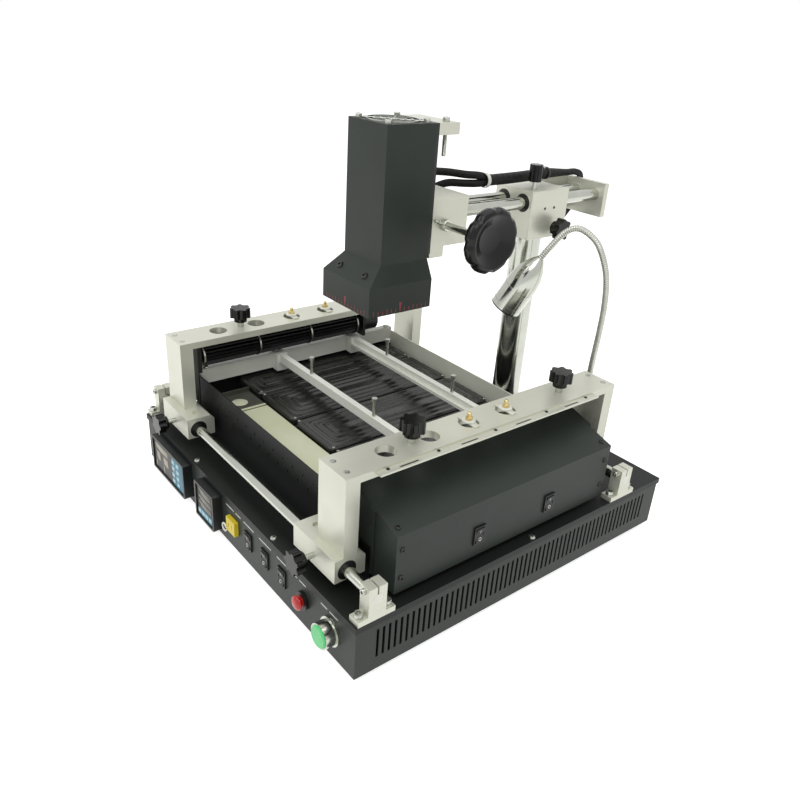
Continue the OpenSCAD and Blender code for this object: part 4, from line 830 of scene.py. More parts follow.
class REWORK_OT_finishes(bpy.types.Operator):
    """Give every solid its finishes and soften its machined edges"""

    bl_idname = "rework.finishes"
    bl_label = "Finishes"

    STAR_KNOBS = "left_knob_front left_knob_rear right_knob_front right_knob_rear"
    LOCK_KNOBS = "left_lock_knob right_lock_knob"
    ARM_KNOBS = "column_lock_knob arm_lock_knob"
    MILLED = (
        "shaft_supports left_blocks left_posts left_beam right_blocks right_posts right_beam arm_block"
        " arm_end_plate slide_housing"
    )
    PLAN = {
        powder_coat: "base_shell right_fan_housing head_housing",
        # The top cover and the tray take a darker copy of the coat: painted shade.
        shaded_coat: "top_cover heater_tray",
        rubber: "rubber_feet",
        circuit_board: "power_unit",
        moulded_grey: "large_controller small_controller",
        moulded_black: (
            "panel_bezels panel_rocker_1 panel_rocker_2 panel_rocker_3 fan_switch_bezels fan_switch_front"
            " fan_switch_rear left_fan_rotor right_fan_rotor head_fan_frame head_fan_rotor head_cable"
        ),
        bakelite: f"{STAR_KNOBS} {LOCK_KNOBS} {ARM_KNOBS} handwheel",
        blackened_steel: "left_fan_casing left_fan_motor right_fan_motor head_back_plate",
        liner_sheet: "tray_liner",
        # The bars and rails take a near-white aluminium: painted light, brighter than the bare metal.
        extruded_painted_light: "side_bars front_rail rear_rail",
        ceramic: "heater_plates top_heater",
        anodised: MILLED,
        ground_steel: "guide_shafts column arm_shafts lamp_neck lamp_head",
        plated_steel: "head_guide",
        lamp_face: "lamp_lens",
    }
    # Edge widths in millimetres of what is folded or moulded
    SOFT = (
        ("top_cover right_fan_housing head_housing heater_tray", 0.6),
        ("large_controller small_controller thermocouple_socket", 1.0),
        (f"{STAR_KNOBS} {LOCK_KNOBS}", 1.2),
        (ARM_KNOBS, 0.6),
    )
    # Lengths of the moulded grips and of the rails' pins, a tenth short of the joint
    STAR_GRIP = 17.9
    LOCK_GRIP = 13.6
    COLUMN_GRIP = 15.9
    ARM_GRIP = 19.9
    PIN_RISE = 22.9
    # The bearings' axes from the front, rear and underside of the blocks, and their seals
    BEARING_INSETS = (14, 21)
    BEARING_RISE = 11
    SEAL_RADIUS = 10.4
    # The column's flange, and the bushes and cable gland in the arm block
    FLANGE_RISE = 12.1
    COLUMN_RADIUS = 19.4
    BUSH_DROP = 15.5
    BUSH_RADIUS = 10.9
    ARM_GLAND = 12.1
    # The glands on the head's left side, and the top plate
    HEAD_GLAND_X = -33.6
    HEAD_GLAND_DROP = 130
    TOP_PLATE = 12.1
    INLET_DEPTH = 30
    BUTTON_RINGS_X = 180
    BRACKET_EDGES = (-100.5, -120)
    LINER_REAR_Y = 121.6
    ROTOR_RADIUS = 15.95
    SUNK_FACE = 1.4
    KEYS = (
        ("large_controller", (-136.5, -123.5), (26.5, 35.5, 44.5, 53.5)),
        ("small_controller", (-62.5, -53.5, -44.5, -35.5), (26,)),
    )
    KEY_HALF = (3.6, 2.6)
    # A normal this close to an axis counts as along it, and this far as across it
    ALONG = 0.9
    ACROSS = 0.1

    def execute(self, context):
        looks = {name: finish() for finish, names in self.PLAN.items() for name in names.split()}
        looks["thermocouple_socket"] = coloured("nylon_moulded_yellow", "#f2da36", "#e6cc2c", 0.4)
        looks["red_button"] = coloured("acrylic_moulded_red", "#d0241f", "#b81d1b", 0.25)
        looks["green_button"] = coloured("acrylic_moulded_green", "#66e08a", "#5ad47e", 0.3)
        missing = set(frame["nodes"]) - set(looks)
        if missing:
            raise RuntimeError(f"no finish for {sorted(missing)}")
        for name, material in looks.items():
            solid = frame["nodes"][name]
            solid.data.materials.clear()
            solid.data.materials.append(material)
        for side in ("left", "right"):
            self.carriage_finishes(side)
        self.base_finishes()
        self.arm_finishes()
        edge = context.scene.rework_sizes.edge
        for names, width in ((f"{self.MILLED} side_bars", edge / MM), *self.SOFT):
            for name in names.split():
                soft = frame["nodes"][name].modifiers.new("softened_edges", "BEVEL")
                soft.width = width * MM
                soft.segments = 2
                soft.limit_method = "ANGLE"
                soft.angle_limit = math.radians(40)
                soft.use_clamp_overlap = True
        return {"FINISHED"}

    def carriage_finishes(self, side):
        """Steel studs of the knobs and black seals in the bearing blocks."""
        for end in ("front", "rear"):
            knob = f"{side}_knob_{end}"
            stud_top = span(knob)[1].z - self.STAR_GRIP
            paint(knob, plated_steel(), lambda p, n: p.z < stud_top)
        stud_end = span(f"{side}_lock_knob")[0].y + self.LOCK_GRIP
        paint(f"{side}_lock_knob", plated_steel(), lambda p, n: p.y > stud_end)
        low, high = span(f"{side}_blocks")
        front, rear = low.y + self.BEARING_INSETS[0], high.y - self.BEARING_INSETS[1]
        axis_z = low.z + self.BEARING_RISE

        def is_seal(p, n):
            near = min(math.hypot(p.y - y, p.z - axis_z) for y in (front, rear))
            return abs(n.x) > self.ALONG and near < self.SEAL_RADIUS

        paint(f"{side}_blocks", moulded_black(), is_seal)

    def base_finishes(self):
        """Rail pins, the inlet, button rings, the liner's bracket, painted light on the liner's rear, painted glints
        on the fan's blades, and the keys.
        """
        for rail in ("front_rail", "rear_rail"):
            rail_top = span(rail)[1].z - self.PIN_RISE
            paint(rail, plated_steel(), lambda p, n: p.z > rail_top)
        inlet = span("power_unit")[1].y - self.INLET_DEPTH
        paint("power_unit", moulded_black(), lambda p, n: p.y > inlet)
        paint("panel_bezels", ground_steel(), lambda p, n: p.x > self.BUTTON_RINGS_X)
        right, rear = self.BRACKET_EDGES
        paint("tray_liner", zinc_bracket(), lambda p, n: p.x < right and p.y < rear)
        # The tray's rear wall takes a brighter copy of the sheet: painted light.
        paint("tray_liner", lit_rear_sheet(), lambda p, n: p.y > self.LINER_REAR_Y)
        low, high = span("left_fan_rotor")
        axis = (low + high) / 2

        # The rotor's outer faces take bright plated steel: painted highlights for the glints along the black blades.
        def is_blade_glint(p, n):
            off = abs(math.hypot(p.x - axis.x, p.z - axis.z) - self.ROTOR_RADIUS)
            return off < 0.1 and abs(n.y) < self.ACROSS

        paint("left_fan_rotor", plated_steel(), is_blade_glint)
        half_x, half_z = self.KEY_HALF
        for node, xs, zs in self.KEYS:
            face_y = span(node)[0].y + self.SUNK_FACE

            def is_key(p, n):
                beside = any(abs(p.x - x) < half_x for x in xs)
                return p.y < face_y and beside and any(abs(p.z - z) < half_z for z in zs)

            paint(node, key_caps(), is_key)

    def arm_finishes(self):
        """Studs of the arm's knobs, the flange, the bushes, the glands, the top plate and the wire guard."""
        stud_x = span("column_lock_knob")[1].x - self.COLUMN_GRIP
        paint("column_lock_knob", plated_steel(), lambda p, n: p.x < stud_x)
        stud_z = span("arm_lock_knob")[1].z - self.ARM_GRIP
        paint("arm_lock_knob", plated_steel(), lambda p, n: p.z < stud_z)
        flange = span("column")[0].z + self.FLANGE_RISE
        radius = self.COLUMN_RADIUS
        paint("column", anodised(), lambda p, n: p.z < flange and math.hypot(p.x, p.y - COLUMN_Y) > radius)
        block = span("arm_block")[1]

        def is_bush_or_gland(p, n):
            off = math.hypot(abs(p.x) - ARM_SHAFT_X, p.z - block.z + self.BUSH_DROP)
            return (abs(n.y) > self.ALONG and off < self.BUSH_RADIUS) or p.y > block.y - self.ARM_GLAND

        paint("arm_block", moulded_black(), is_bush_or_gland)
        top = span("head_housing")[1].z
        glands = top - self.HEAD_GLAND_DROP
        paint("head_housing", moulded_black(), lambda p, n: p.x < self.HEAD_GLAND_X and p.z > glands)
        paint("head_guide", anodised(), lambda p, n: p.z > top - self.TOP_PLATE)
        paint("head_fan_frame", plated_steel(), lambda p, n: p.z > top - 0.1)


class REWORK_OT_heaters(bpy.types.Operator):
    """Model the ceramic plates with their rims and nested ridges, and the studs between them"""

    bl_idname = "rework.heaters"
    bl_label = "Heater plates"

    # Millimetres: three wide plates between two narrow ones
    WIDE = 80
    NARROW = 60
    GAP = 3
    CORNER = 8
    RIM = ((0, -9), (0, -1.8), (0.6, -0.6), (1.8, 0.2), (3.2, 0.7), (4.6, 0.5), (6, -0.1), (8, -0.3))
    LOOP_INSET = 12
    LOOP_POWER = 7
    # Mesh of the ridged field: its step, the length that is fine at each end, and the steps of a corner
    STEP = 1.2
    FINE = 46
    ARC = 5
    STUD_INSET = 5
    STUD_STEPS = (-4.5, 4.5)
    STUD_RISE = 0.3
    STUD_HEAD = 3.6

    def execute(self, context):
        sizes = context.scene.rework_sizes
        self.pitch = sizes.ridge_pitch / MM
        self.rise = sizes.ridge_rise / MM
        low, high = span("heater_plates")
        self.length = high.y - low.y
        self.middle_y = (low.y + high.y) / 2
        self.top = high.z - self.rise
        step = self.WIDE + self.GAP
        mesh = bmesh.new()
        for x in (-step, 0, step):
            self.plate(mesh, x, self.WIDE)
        for x in (low.x + self.NARROW / 2, high.x - self.NARROW / 2):
            self.plate(mesh, x, self.NARROW)
        plates = piece("ceramic_plates", mesh, ceramic(), "ceramic", "base", crease=60)
        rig.replaces(plates, "heater_plates")

        studs = bmesh.new()
        for x in (-1.5 * step, -0.5 * step, 0.5 * step, 1.5 * step):
            for y in (low.y + self.STUD_INSET, high.y - self.STUD_INSET):
                for side in self.STUD_STEPS:
                    seat = spot(x + side, y, self.top + self.STUD_RISE)
                    pan_screw(studs, seat, UP, self.STUD_HEAD * MM)
        piece("plate_studs", studs, plated_steel(), "satin_steel", "base")
        return {"FINISHED"}

    def plate(self, mesh, x, width):
        """One plate: a ridged field inside rings that make its rounded rim and walls."""
        half, reach = width / 2 - self.CORNER, self.length / 2 - self.CORNER
        columns = evenly(-half, half, self.STEP)
        rows = evenly(-reach, self.FINE - reach, self.STEP) + evenly(reach - self.FINE, reach, self.STEP)

        def vert(u, v, height):
            return mesh.verts.new(spot(x + u, self.middle_y + v, self.top + height))

        floor = self.RIM[-1][1]
        field = [[vert(u, v, floor + self.ridge(u, v, half)) for u in columns] for v in rows]
        for low, high in zip(field, field[1:]):
            for k in range(len(columns) - 1):
                mesh.faces.new((low[k], low[k + 1], high[k + 1], high[k]))
        rings = []
        for inset, height in self.RIM[:-1]:
            outline = self.outline(columns, rows, half, reach, self.CORNER - inset)
            rings.append([vert(u, v, height) for u, v in outline])
        rings.append(self.border(field))
        for outer, inner in zip(rings, rings[1:]):
            for k in range(len(outer)):
                n = (k + 1) % len(outer)
                face = list(dict.fromkeys((outer[k], outer[n], inner[n], inner[k])))
                if len(face) > 2:
                    mesh.faces.new(face)
        mesh.faces.new(rings[0])

    def ridge(self, u, v, half):
        """Height of the ridges at a place in the field: nested loops, round at both ends of the plate."""
        across = half + self.CORNER - self.LOOP_INSET
        straight = self.length / 2 - self.LOOP_INSET - across
        past = max(abs(v) - straight, 0)
        square = (abs(u) ** self.LOOP_POWER + past**self.LOOP_POWER) ** (1 / self.LOOP_POWER)
        inset = across - square
        wave = 0.5 + 0.5 * math.cos(2 * math.pi * inset / self.pitch)
        height = self.rise - self.RIM[-1][1]
        return height * wave * ease(inset / self.pitch + 0.5) * ease(square / self.pitch)

    def outline(self, columns, rows, half, reach, radius):
        """Points round a rectangle with rounded corners, in step with the field's border."""
        points = []
        sides = (
            ([(u, -reach - radius) for u in columns], half, -reach, -90),
            ([(half + radius, v) for v in rows], half, reach, 0),
            ([(u, reach + radius) for u in reversed(columns)], -half, reach, 90),
            ([(-half - radius, v) for v in reversed(rows)], -half, -reach, 180),
        )
        for side, corner_u, corner_v, turn_from in sides:
            points += side
            for k in range(1, self.ARC):
                angle = math.radians(turn_from + 90 * k / self.ARC)
                points.append((corner_u + radius * math.cos(angle), corner_v + radius * math.sin(angle)))
        return points

    def border(self, field):
        """The field's border points, each corner repeated for the corner arcs."""
        sides = (
            field[0],
            [row[-1] for row in field],
            list(reversed(field[-1])),
            [row[0] for row in reversed(field)],
        )
        return [vert for side in sides for vert in side + [side[-1]] * (self.ARC - 1)]


class REWORK_OT_fasteners(bpy.types.Operator):
    """Seat the screws of the cover, clamps, rails, bars, beams, flange, arm, head and fan housing"""

    bl_idname = "rework.fasteners"
    bl_label = "Fasteners"

    BRIGHT = (plated_steel, "satin_steel")
    DARK = (blackened_steel, "black_metal")
    # Places in millimetres from the sides, ends and tops of the solids
    COVER_EDGE = 5.5
    COVER_X = (-96, 86)
    COVER_SIDE_Y = 5
    SUPPORT_HALF = (7, 21)
    FOOT_RISE = 6
    FOOT_STEPS = (-16, 16)
    CLAMP_FACE = 10
    CLAMP_DROP = 5
    BAR_MIDDLE = 5.25
    BAR_ENDS = (9, 8)
    RAIL_MIDDLE = 8
    RAIL_STEPS = (-4.5, 4.5)
    PIN_RISE = 23
    BEAM_MIDDLE = 22
    BEAM_END = 8
    BEAM_STEPS = (-11, 11)
    STRIP_EDGE = 5.5
    STRIP_DROP = 2
    STRIP_PLACES = (12, 73, 149, 225, 290)
    HOUSING_END = 7
    HOUSING_HEIGHTS = (95, 127)
    EAVES = 144
    FLANGE_RING = 24.5
    FLANGE_TOP = 84
    GRUB_DROP = 21.5
    GRUB_Y = (188.5, 205)
    GUARD_Y = -30
    GUARD_HALF = 25
    HOOD_X = (-23, 23)
    HOOD_Y = -74.5
    HOOD_DROP = 153.4
    HOOD_NORMAL = (0, -20, 21)
    ROD_DROP = 21
    # Rear holes of a beam, and what covers them: half sizes and thickness, then radius and height
    HOLES = (166.5, 219.5)
    BRIDGE = (13.5, 4, 1.6)
    WASHER = ((7, 0), (7.2, 0.4), (7, 1.6), (6, 2), (0, 2))
    BRASS_SCREW = (
        (4.2, 0, hex_ring),
        (4.2, 3, hex_ring),
        (2.4, 3.4, round_ring),
        (2.2, 7.5, round_ring),
        (1.6, 8.2, round_ring),
        (0, 8.2, round_ring),
    )

    def execute(self, context):
        for group in (self.base_rows, self.carriage_rows, self.arm_rows):
            for name, body, kind, head, (finish, slot), seats in group():
                mesh = bmesh.new()
                for point, normal in seats:
                    kind(mesh, spot(*point), normal, head * MM)
                piece(name, mesh, finish(), slot, body)
        self.hole_screws()
        return {"FINISHED"}

    def base_rows(self):
        """Each row: name, body, kind of screw, head diameter, finish with slot, and seats with normals."""
        low, high = span("top_cover")
        edge = self.COVER_EDGE
        places = [(x, y) for x in self.COVER_X for y in (low.y + edge, high.y - edge)]
        places += [(x, self.COVER_SIDE_Y) for x in (low.x + edge, high.x - edge)]
        yield "cover_screws", "base", pan_screw, 7.5, self.BRIGHT, [((x, y, high.z), UP) for x, y in places]

        low, high = span("shaft_supports")
        half_x, half_y = self.SUPPORT_HALF
        feet, clamps = [], []
        for x in (low.x + half_x, high.x - half_x):
            for y in (low.y + half_y, high.y - half_y):
                feet += [((x, y + step, low.z + self.FOOT_RISE), UP) for step in self.FOOT_STEPS]
                clamps.append(((x, y - self.CLAMP_FACE, high.z - self.CLAMP_DROP), FRONT))
        yield "clamp_foot_screws", "base", cap_screw, 9, self.BRIGHT, feet
        yield "clamp_screws", "base", cap_screw, 6.5, self.BRIGHT, clamps

        low, high = span("side_bars")
        bar_x = high.x - self.BAR_MIDDLE
        ends = (low.y + self.BAR_ENDS[0], high.y - self.BAR_ENDS[1])
        seats = [((x, y, high.z), UP) for x in (-bar_x, bar_x) for y in ends]
        yield "bar_screws", "base", pan_screw, 8, self.BRIGHT, seats
        for rail, body in (("front_rail", "rail_front"), ("rear_rail", "rail_rear")):
            low, high = span(rail)
            middle = low.y + self.RAIL_MIDDLE if rail == "front_rail" else high.y - self.RAIL_MIDDLE
            top = high.z - self.PIN_RISE
            seats = [((x, middle + step, top), UP) for x in (-bar_x, bar_x) for step in self.RAIL_STEPS]
            yield f"{rail}_screws", body, flat_screw, 4.6, self.BRIGHT, seats

    def carriage_rows(self):
        """Rows for the beams, the right beam's strip and the right fan's housing."""
        for side in ("left", "right"):
            low, high = span(f"{side}_beam")
            x = low.x + self.BEAM_MIDDLE
            ends = (low.y + self.BEAM_END, high.y - self.BEAM_END)
            seats = [((x + step, y, high.z), UP) for step in self.BEAM_STEPS for y in ends]
            yield f"{side}_beam_screws", f"{side}_carriage", flat_screw, 6.8, self.BRIGHT, seats
        beam = span("right_beam")[1]
        low, high = span("right_fan_housing")
        x, z = beam.x - self.STRIP_EDGE, beam.z - self.STRIP_DROP
        strip = [((x, low.y + y, z), UP) for y in self.STRIP_PLACES]
        yield "strip_screws", "right_carriage", pan_screw, 3.6, self.DARK, strip
        front, rear = low.y + self.HOUSING_END, high.y - self.HOUSING_END
        seats = [((high.x, y, z), RIGHT) for y in (front, rear) for z in self.HOUSING_HEIGHTS]
        roof = Vector((ROOF_SLOPE, 0, 1)).normalized()
        for inset, y in ((9, front), (9, rear), (66, rear)):
            seats.append(((high.x - inset, y, self.EAVES + inset * ROOF_SLOPE), roof))
        yield "housing_screws", "right_carriage", pan_screw, 6, self.DARK, seats

    def arm_rows(self):
        """Rows for the column's flange, the arm and the head."""
        ring = [math.radians(angle) for angle in (45, 135, 225, 315)]
        reach = [(self.FLANGE_RING * math.cos(a), self.FLANGE_RING * math.sin(a)) for a in ring]
        flange = [((x, COLUMN_Y + y, self.FLANGE_TOP), UP) for x, y in reach]
        yield "flange_screws", "base", cap_screw, 7.5, self.BRIGHT, flange
        block = span("arm_block")[1]
        grubs = [((block.x, y, block.z - self.GRUB_DROP), RIGHT) for y in self.GRUB_Y]
        yield "arm_grub_screws", "arm", flat_screw, 3.4, self.DARK, grubs
        top = span("head_housing")[1].z
        corners = (-self.GUARD_HALF, self.GUARD_HALF)
        guard = [((x, self.GUARD_Y + y, top), UP) for x in corners for y in corners]
        yield "guard_screws", "head", cap_screw, 7, self.BRIGHT, guard
        yield "top_plate_bolt", "head", cap_screw, 8, self.BRIGHT, [((*TOP_BOLT, top), UP)]
        slope = Vector(self.HOOD_NORMAL).normalized()
        hood = [((x, self.HOOD_Y, top - self.HOOD_DROP), slope) for x in self.HOOD_X]
        yield "hood_screws", "head", pan_screw, 8, self.DARK, hood
        rear, rod_z = span("arm_end_plate")[1].y, span("slide_housing")[1].z - self.ROD_DROP
        rods = [((x, rear, rod_z), -FRONT) for x in (-ARM_SHAFT_X, ARM_SHAFT_X)]
        yield "shaft_end_screws", "slide_arm", cap_screw, 9, self.BRIGHT, rods

    def hole_screws(self):
        """Brass screws with pale washers, on bridges over the two rear holes of each beam."""
        half_x, half_y, thick = self.BRIDGE
        for side in ("left", "right"):
            low, high = span(f"{side}_beam")
            bridges, washers, screws = bmesh.new(), bmesh.new(), bmesh.new()
            x, z = low.x + self.BEAM_MIDDLE, high.z
            for hole in self.HOLES:
                y = low.y + hole
                corners = spot(x - half_x, y - half_y, z), spot(x + half_x, y + half_y, z + thick)
                slab(bridges, *corners, 0.6 * MM)
                turn(washers, rounds(self.WASHER), facing(spot(x, y, z + thick), UP))
                seat = spot(x, y, z + thick + self.WASHER[-1][1])
                turn(screws, shaped(self.BRASS_SCREW), facing(seat, UP), 24)
            body = f"{side}_carriage"
            piece(f"{side}_hole_bridges", bridges, anodised(), "pale_anodised", body)
            piece(f"{side}_hole_washers", washers, white_nylon(), "lens", body)
            piece(f"{side}_brass_screws", screws, brass(), "satin_steel", body)


class REWORK_OT_panel_faces(bpy.types.Operator):
    """Fit the controllers' windows, the marks on panel and switches, the red cap and the socket's loop"""

    bl_idname = "rework.panel_faces"
    bl_label = "Panel faces"

    # Windows and key field of each controller: left, bottom, right and top, from its frame and the floor
    FACES = (
        (
            "large",
            window_print_and_reflection,
            ((5, 49, 44, 57), (9, 34, 20, 45.5), (30, 34, 44, 45.5), (5, 22, 9, 31), (28, 21, 32, 31)),
            (58, 20, 88, 59),
        ),
        (
            "small",
            window_dim,
            ((4.5, 50, 37.5, 58), (4.5, 41.5, 37.5, 48.5), (4.5, 33, 37.5, 40)),
            (3.5, 19.6, 38.5, 30.4),
        ),
    )
    FRAME = 3
    SUNK_FACE = 1.5
    PANE = 0.25
    # Painted highlights along the lower and left edges of each frame: inner and outer inset, then depth
    EDGE_HIGHLIGHT = (0.6, 1.4)
    EDGE_HIGHLIGHT_DEPTH = (-0.15, 0.05)
    LINES = ((-14, 4), (8, 20), (27, 50), (62, 87), (99, 124), (131, 139), (143, 155), (182, 193), (197, 211))
    LINES_Z = (58.2, 59.6)
    INK = 0.12
    # Middles of the panel's rockers and of the fan switches, and where their marks are
    ROCKERS_X = (38, 74.4, 110)
    ROCKERS_Z = 40
    SWITCHES = (("front", -72), ("rear", 31))
    SWITCHES_Z = 104
    ROCKER_PROUD = 1.4
    ROCKER_SLOPE = 0.22
    MARK_OFF = 4.6
    BAR = ((-0.45, -1.9, 0.02), (0.45, 1.9, 0.12))
    RING = ((2, 0.02), (2, 0.12), (1.3, 0.12), (1.3, 0.02))
    DOME = ((5, -0.3), (5, 0.7), (7.6, 0.7), (8, 1.3), (7.9, 2.4), (7, 3.8), (5.2, 4.8), (2.8, 5.4), (0, 5.6))
    LOOP_RADIUS = 4.6
    LOOP_WIRE = 1.1
    LOOP_MIDDLE = (-2.6, -0.9, 1.5)
    LOOP_SPAN = 320

    def execute(self, context):
        self.windows()
        self.marks()
        self.rocker_marks()
        self.red_cap()
        self.loop()
        return {"FINISHED"}

    def windows(self):
        """Printed windows and key fields on both controllers, and light strips along their frames' lower and left
        edges: painted highlights.
        """
        near, far = self.EDGE_HIGHLIGHT
        front, rear = self.EDGE_HIGHLIGHT_DEPTH
        for name, glass, panes, keys in self.FACES:
            low, high = span(f"{name}_controller")
            left, face_y = low.x + self.FRAME, low.y + self.SUNK_FACE
            for kind, finish, slot, rows in (
                ("windows", glass, "lens", panes),
                ("key_field", key_field, "grey_plastic", (keys,)),
            ):
                mesh = bmesh.new()
                for x0, z0, x1, z1 in rows:
                    corners = spot(left + x0, face_y - self.PANE, z0), spot(left + x1, face_y, z1)
                    slab(mesh, *corners, 0.1 * MM)
                piece(f"{name}_{kind}", mesh, finish(), slot, "base")
            painted_edge_highlight = bmesh.new()
            start = spot(low.x + near, low.y + front, low.z + near)
            for x, z in ((high.x - near, low.z + far), (low.x + far, high.z - near)):
                slab(painted_edge_highlight, start, spot(x, low.y + rear, z))
            piece(f"{name}_trim", painted_edge_highlight, window_print_and_reflection(), "lens", "base")

    def marks(self):
        """Plain white lines where the panel is printed: no words."""
        panel_y = span("base_shell")[0].y
        mesh = bmesh.new()
        for x0, x1 in self.LINES:
            slab(mesh, spot(x0, panel_y - self.INK, self.LINES_Z[0]), spot(x1, panel_y, self.LINES_Z[1]))
        piece("panel_lines", mesh, white_print(), "lens", "base")

    def rocker_marks(self):
        """A white bar and a ring on each rocker, as on any mains switch."""
        panel_y = span("base_shell")[0].y
        side_x = span("right_fan_housing")[1].x
        seats = []
        for i, x in enumerate(self.ROCKERS_X):
            seats.append((f"rocker_{i + 1}", Vector((x, panel_y, self.ROCKERS_Z)), FRONT))
        for end, y in self.SWITCHES:
            seats.append((f"switch_{end}", Vector((side_x, y, self.SWITCHES_Z)), RIGHT))
        proud = self.ROCKER_PROUD + self.ROCKER_SLOPE * self.MARK_OFF
        for body, middle, out in seats:
            mesh = bmesh.new()
            for share in (-1, 1):
                normal = (out - share * self.ROCKER_SLOPE * UP).normalized()
                place = middle + out * proud + share * self.MARK_OFF * UP
                lean = Matrix.Translation(spot(*place)) @ self.upright(normal)
                if share > 0:
                    slab(mesh, *(MM * Vector(corner) for corner in self.BAR))
                    corners = mesh.verts[-8:]
                    bmesh.ops.transform(mesh, matrix=lean, verts=corners)
                else:
                    turn(mesh, rounds(self.RING, loop=True), lean, 24)
            piece(f"{body}_marks", mesh, white_print(), "lens", body)

    def upright(self, normal):
        """A turn that puts +Z along a normal and keeps +Y as near to upright as it can be."""
        side = UP.cross(normal).normalized()
        return Matrix((side, normal.cross(side), normal)).transposed().to_4x4()

    def red_cap(self):
        """The red button's dome, wider than its stem; it stays clear of the ring when pressed."""
        low, high = span("red_button")
        mesh = bmesh.new()
        place = facing(spot((low.x + high.x) / 2, low.y, (low.z + high.z) / 2), FRONT)
        turn(mesh, rounds(self.DOME), place)
        piece("red_cap", mesh, frame["nodes"]["red_button"].data.materials[0], "red_plastic", "red_push")

    def loop(self):
        """A white nylon loop on the socket's left side."""
        middle = span("thermocouple_socket")[0] + Vector(self.LOOP_MIDDLE)
        steps = 32
        path = []
        for k in range(steps + 1):
            angle = math.radians(self.LOOP_SPAN * (k / steps - 0.5))
            reach = Vector((-math.cos(angle), 0, math.sin(angle)))
            path.append(spot(*(middle + self.LOOP_RADIUS * reach)))
        mesh = bmesh.new()
        sweep(mesh, path, lambda run, angle: self.LOOP_WIRE * MM, FRONT, 12)
        piece("socket_loop", mesh, white_nylon(), "lens", "base")


class REWORK_OT_lamp(bpy.types.Operator):
    """Wind the lamp's flexible neck, turn its head and seat its diodes"""

    bl_idname = "rework.lamp"
    bl_label = "Lamp"

    NECK_RADIUS = 3.75
    WINDING_DEPTH = 0.3
    NUT = (
        (9, 0, hex_ring),
        (9, 10, hex_ring),
        (7.4, 12, round_ring),
        (4.4, 13.5, round_ring),
        (0, 13.5, round_ring),
    )
    # Radius and height: the cone from the neck's end, then the rim from the tip
    CONE = ((4.4, -2), (6, 0), (8.2, 3), (13.6, 12), (17.2, 21), (19, 32), (19.4, 42))
    RIM = ((19.4, -1.5), (15.4, -1.5), (15.4, -2.4), (0, -2.4))
    BEZEL = ((19.4, -1.5), (19.4, -0.2), (18.9, 0.3), (15.4, 0.3), (15.4, -1.5))
    DIODE = ((2.5, 0), (2.5, 0.5), (2.2, 1.1), (1.5, 1.6), (0.6, 1.85), (0, 1.9))
    DIODE_RING = 7.2
    DIODE_RISE = 0.02
    LENS_DEPTH = 2
    BAND = ((19.2, -0.9), (19.7, -0.6), (19.7, 0.6), (19.2, 0.9))
    BAND_SHARES = (0.58, 0.9)

    def execute(self, context):
        self.neck(context.scene.rework_sizes.conduit_pitch)
        way = LAMP_TIP - LAMP_NECK_END
        self.head(way)
        self.diodes(way)
        bands = bmesh.new()
        for share in self.BAND_SHARES:
            place = facing(MIDDLE + MM * (LAMP_NECK_END + share * way), way)
            turn(bands, rounds(self.BAND, loop=True), place, 40)
        piece("lamp_bands", bands, ground_steel(), "polished_steel", "base")
        return {"FINISHED"}

    def neck(self, pitch):
        """The wound neck with a nut on the cover."""
        mesh = bmesh.new()
        path = smooth_route([spot(*p) for p in NECK_ROUTE], 50)

        def radius(run, angle):
            return (self.NECK_RADIUS + self.WINDING_DEPTH * math.cos(2 * math.pi * run / pitch - angle)) * MM

        sweep(mesh, path, radius, (0.6, -0.8, 0), 14)
        foot = spot(*NECK_ROUTE[0][:2], span("top_cover")[1].z)
        turn(mesh, shaped(self.NUT), facing(foot, UP), 24)
        neck = piece("lamp_conduit", mesh, wound_steel(), "polished_steel", "base", crease=50)
        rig.replaces(neck, "lamp_neck")

    def head(self, way):
        """A bright cone that widens to a dark bezel."""
        end = way.length
        root = facing(MIDDLE + MM * LAMP_NECK_END, way)
        mesh = bmesh.new()
        turn(mesh, rounds(self.CONE + tuple((r, end + h) for r, h in self.RIM)), root, 48)
        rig.replaces(piece("lamp_shell", mesh, ground_steel(), "polished_steel", "base"), "lamp_head")
        mesh = bmesh.new()
        turn(mesh, rounds([(r, end + h) for r, h in self.BEZEL], loop=True), root, 48)
        piece("lamp_bezel", mesh, moulded_black(), "black_plastic", "base")

    def diodes(self, way):
        """Seven pale diodes on the lens: one in the middle and six round it."""
        aim = facing(MIDDLE + MM * (LAMP_TIP - self.LENS_DEPTH * way.normalized()), way)
        ring = self.DIODE_RING
        angles = [k * math.pi / 3 for k in range(6)]
        places = [(0, 0)] + [(ring * math.cos(a), ring * math.sin(a)) for a in angles]
        mesh = bmesh.new()
        for u, v in places:
            place = aim @ Matrix.Translation((u * MM, v * MM, self.DIODE_RISE * MM))
            turn(mesh, rounds(self.DIODE), place, 16)
        piece("lamp_diodes", mesh, white_nylon(), "lens", "base")


